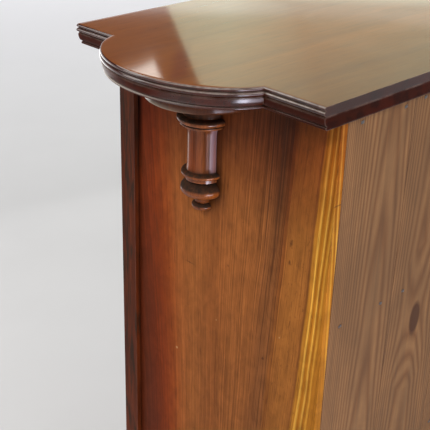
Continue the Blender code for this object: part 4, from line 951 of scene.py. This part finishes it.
def knob():
    """Turned brass knob: a rose with a bead, hollow neck, ball, and a small button in front."""
    middle = 0.0185
    ball = [(0.0125 * math.cos(a), middle + 0.0125 * math.sin(a)) for a in sweep(66, -55, 28)]
    profile = [
        (0.0, 0.0310), (0.0022, 0.0309), (0.0036, 0.0305), (0.0043, 0.0299), (0.0045, 0.0295),
        *ball,
        *hollow((0.0070, 0.0080), (0.0052, 0.0063), 6),
        (0.0052, 0.0036),
        *bead(0.0095, FIT + 0.0015, 0.0015),
        (0.0040, FIT), (0.0040, -0.0100), (0.0, -0.0100),
    ]
    bm = bmesh.new()
    turn_on(bm, profile, (KNOB_X, DOOR_FRONT, KNOB_Z), FORWARD, 56)
    piece("door_knob_turned", bm, "door", "brass", "door_knob")


def lock_key():
    """Iron key: turned shank with collars, flattened ring bow and a bit inside the lock."""
    bm = bmesh.new()
    shank = [
        (0.0, 0.0180), (0.0022, 0.0180), (0.0022, 0.0128), (0.0028, 0.0121), (0.0022, 0.0114), (0.0024, 0.0094),
        (0.0033, 0.0090), (0.0036, 0.0084), (0.0036, 0.0066), (0.0033, 0.0060), (0.0024, 0.0056), (0.0022, 0.0050),
        (0.0022, -0.0216), (0.0016, -0.0222), (0.0, -0.0222),
    ]
    turn_on(bm, shank, (KEY_X, DOOR_FRONT, KEY_Z), FORWARD, 28)
    centre = (KEY_X, DOOR_FRONT - 0.0270, KEY_Z)
    section = Matrix.Translation((KEY_X, centre[1], KEY_Z + 0.0090)) @ Matrix.Rotation(math.pi / 2, 4, "X")
    section = section @ Matrix.Diagonal((0.0013, 0.0018, 1.0, 1.0))
    ring = bmesh.ops.create_circle(bm, cap_ends=False, radius=1.0, segments=14, matrix=section)["verts"]
    full_turn(bm, ring + edges_of(ring), centre, (1.0, 0.0, 0.0), 44)
    at = Matrix.Translation((KEY_X, LOCK_MIDDLE_Y, KEY_Z - 0.0045)) @ Matrix.Diagonal((0.0016, 0.0050, 0.0090, 1.0))
    bit = bmesh.ops.create_cube(bm, size=1.0, matrix=at)["verts"]
    bevel(bm, edges_of(bit), 0.0003)
    piece("key_forged", bm, "key", "iron", "key")


def keyhole_ring(grow):
    """Half outline of the keyhole as (x, z) from its round middle, top to bottom, widened by a margin."""
    radius, half_slot, foot = 0.0030 + grow, 0.0016 + grow, -0.0098 - grow
    start = math.degrees(math.asin(half_slot / radius))
    arc = [(radius * math.sin(a), radius * math.cos(a)) for a in sweep(0, 180 - start, 16)]
    side = [(half_slot, arc[-1][1] + (foot - arc[-1][1]) * i / 6) for i in range(1, 6)]
    return [*arc, *side, (half_slot * 0.92, foot + 0.0003), (half_slot * 0.6, foot), (0.0, foot)]


def escutcheon_plate():
    """Pressed brass keyhole plate with a raised rim and a lip round the hole."""
    count = len(keyhole_ring(0.0))
    drop = 0.00225

    def oval(scale):
        turns = sweep(0, 180, count - 1)
        return [(0.0100 * scale * math.sin(a), 0.0170 * scale * math.cos(a) - drop) for a in turns]

    levels = [
        (oval(1.0), 0.0003), (oval(1.0), 0.0011), (oval(0.975), 0.0016), (oval(0.93), 0.0018), (oval(0.87), 0.0015),
        (oval(0.82), 0.0012), (keyhole_ring(0.0011), 0.0012), (keyhole_ring(0.0007), 0.0016),
        (keyhole_ring(0.0002), 0.0016), (keyhole_ring(0.0), 0.0013), (keyhole_ring(0.0), 0.0003),
    ]
    bm = bmesh.new()
    rings = []
    for half, reach in levels:
        outline = half + [(-x, z) for x, z in reversed(half[1:-1])]
        points = [(KEY_X + x, DOOR_FRONT - reach, KEY_Z + z) for x, z in outline]
        rings.append(strand(bm, points, closed=True)[1])
    for first, second in zip(rings, rings[1:] + rings[:1]):
        bmesh.ops.bridge_loops(bm, edges=first + second)
    piece("escutcheon_pressed", bm, "door", "brass", "escutcheon", sharp=50)
    pins = bmesh.new()
    for height in (0.0142, -0.0142):
        dome = [(0.0, 0.0019), (0.0006, 0.0018), (0.0010, 0.0014), (0.0011, 0.0009), (0.0, 0.0009)]
        turn_on(pins, dome, (KEY_X, DOOR_FRONT, KEY_Z - drop + height), FORWARD, 16)
    piece("escutcheon_pins", pins, "door", "brass")


def metalwork():
    """Hinges, lock, key, keyhole plate and knob, with their screws and nails."""
    for place, middle in HINGE_MIDDLES.items():
        eased(f"{place}_hinge_frame_leaf", "carcass", "brass", 0.0003, 2, 0.006)
        eased(f"{place}_hinge_door_leaf", "door", "brass", 0.0003, 2, 0.006)
        eased(f"{place}_hinge_pin", "carcass", "brass", 0.0002, 2, 0.006)
        rows = [(LEAF_SCREW_Y - 0.0012 * (step % 2), middle + step * LEAF_SCREW_STEP) for step in (-1, 0, 1)]
        screws(f"{place}_frame_leaf_screws", "carcass", "brass", LEAF_SCREW, PROUD, (-1.0, 0.0, 0.0),
               [(OPENING_HALF, y, z) for y, z in rows])
        screws(f"{place}_door_leaf_screws", "door", "brass", LEAF_SCREW, PROUD, (1.0, 0.0, 0.0),
               [(DOOR_EDGE, y, z) for y, z in rows])
    eased("strike_plate", "carcass", "brass", 0.0003, 2, 0.006)
    screws("strike_plate_screws", "carcass", "brass", LOCK_SCREW, PROUD, (1.0, 0.0, 0.0),
           [(-OPENING_HALF, LOCK_MIDDLE_Y, z) for z in (0.5400, 0.5660)])
    eased("lock_case", "door", "iron", 0.0004, 2, 0.006)
    screws("lock_case_screws", "door", "iron", LOCK_SCREW, FIT, (0.0, 1.0, 0.0),
           [(x, FRAME_BACK, z) for x in (-0.1785, -0.1515) for z in (0.5315, 0.5685)])
    eased("lock_bolt", "bolt", "brass", 0.0004, 2, 0.004)
    escutcheon_plate()
    knob()
    lock_key()
    nails()


# Studio

def soft_box(name, azimuth, elevation, distance, width, height, watts, colour, turn=0, cone=180, at=(0.25, 0, 0.93)):
    """A rectangular lamp that looks at the top from a direction in degrees, counted from +X."""
    a, e = math.radians(azimuth), math.radians(elevation)
    away = Vector((math.cos(e) * math.cos(a), math.cos(e) * math.sin(a), math.sin(e)))
    data = bpy.data.lights.new(name, "AREA")
    data.shape = "RECTANGLE"
    data.size, data.size_y = width, height
    data.energy = watts
    data.color = colour
    data.spread = math.radians(cone)
    lamp = placed(name, data)
    lamp.location = Vector(at) + away * distance
    roll = Matrix.Rotation(math.radians(turn), 3, "Z").to_quaternion()
    lamp.rotation_euler = (away.to_track_quat("Z", "Y") @ roll).to_euler()


def studio_paper():
    """Pale paper that shows one plain colour, lit or not, far from the object."""
    made, tree, shader, place = finish("studio_paper", Roughness=0.85, Specular_IOR_Level=0.10, Emission_Strength=1.0)
    mottle = place.noise(3, 3).spread(0.3, 0.7)
    mottle.between((0.572, 0.573, 0.596), (0.592, 0.593, 0.616)).to(shader["Base Color"])
    level = place.stretched((1.0, 1.0, 0.0))
    away = wires(tree, "ShaderNodeVectorMath", {0: level}, operation="LENGTH")["Value"]
    ray = wires(tree, "ShaderNodeLightPath")
    seen = ray["Is Camera Ray"].most(ray["Is Glossy Ray"]).most(ray["Is Transmission Ray"])
    glow = away.spread(1.3, 5.0) * seen
    glow.between((0.0, 0.0, 0.0), (0.735, 0.74, 0.765)).to(shader["Emission Color"])
    return made


def studio():
    """Paper floor that turns up into a low backdrop all round, with soft lamps."""
    bm = bmesh.new()
    flat, bend, rim = 7.0, 1.0, 3.0
    curve = [(flat + bend * math.sin(a), 0.0, bend - bend * math.cos(a)) for a in sweep(0, 90, 16)]
    verts, edges = strand(bm, [(0.01, 0.0, 0.0), *curve, (flat + bend, 0.0, rim)])
    full_turn(bm, verts + edges, (0.0, 0.0, 0.0), UP, 180)
    bmesh.ops.holes_fill(bm, edges=[edge for edge in bm.edges if edge.is_boundary], sides=200)
    for lid in [face for face in bm.faces if face.calc_center_median().z > 2.0 and len(face.verts) > 8]:
        bm.faces.remove(lid)
    mesh = baked("studio_floor", bm)
    mesh.materials.append(studio_paper())
    floor = placed("studio_floor", mesh)

    world = bpy.data.worlds.new("studio_air")
    world.use_nodes = True
    sky = world.node_tree.nodes["Background"]
    sky.inputs["Color"].default_value = (0.94, 0.96, 1.0, 1.0)
    sky.inputs["Strength"].default_value = 0.06
    bpy.context.scene.world = world

    soft_box("overhead", 0, 90, 3.4, 3.5, 3.5, 64, (1.0, 0.97, 0.93), at=(-1.8, -1.8, 0.93))
    for name, azimuth in (("front_sky", -95), ("corner_sky", -42), ("side_sky", 12), ("rear_sky", 66)):
        soft_box(name, azimuth, 42, 3.0, 2.6, 0.95, 26.5, (1.0, 0.97, 0.92))
    soft_box("corner_window", -48, 20, 2.6, 0.8, 2.0, 23, (1.0, 0.97, 0.93))
    soft_box("far_wall", -150.7, 18, 4.2, 2.20, 2.6, 6.8, (0.81, 1.0, 0.70), turn=30, cone=100)
    soft_box("far_window", -129.4, 19.1, 4.2, 0.22, 0.13, 0.27, (1.0, 0.94, 0.86), turn=24)
    soft_box("rear_window", 80, -28, 1.50, 0.98, 0.50, 4.8, (0.82, 0.83, 1.0), cone=120)
    soft_box("rear_pane", 70, -28, 1.47, 0.32, 0.48, 2.4, (0.82, 0.83, 1.0), cone=120)
    soft_box("rear_skylight", 92, 31, 2.5, 1.3, 0.4, 7, (0.92, 0.93, 1.0))
    soft_box("back_sky", 130, 34, 2.6, 1.6, 0.9, 18, (0.95, 0.96, 1.0))
    soft_box("front_window", -104, 0, 1.75, 2.0, 0.75, 4.4, (1.0, 0.99, 0.96), cone=110, at=(0.25, 0, 0.45))


def camera():
    """The photograph's view: from behind the right-hand end, looking down on the top and the side."""
    image_width, focal_pixels = 430.0, 950.0
    data = bpy.data.cameras.new("camera")
    data.sensor_width = 36.0
    data.lens = 36.0 * focal_pixels / image_width
    right = Vector((-0.71452, 0.69914, 0.02589)).normalized()
    up = Vector((-0.29335, -0.33299, 0.89614)).normalized()
    back = right.cross(up)
    made = placed("camera", data)
    made.matrix_world = Matrix((right, up, back)).transposed().to_4x4()
    made.location = (0.88386, 0.66966, 1.24649)
    bpy.context.scene.camera = made


camera()
studio()
top_boards()
turnings()
boards()
door()
metalwork()

bpy.context.scene.view_settings.view_transform = "Standard"
bpy.context.view_layer.update()
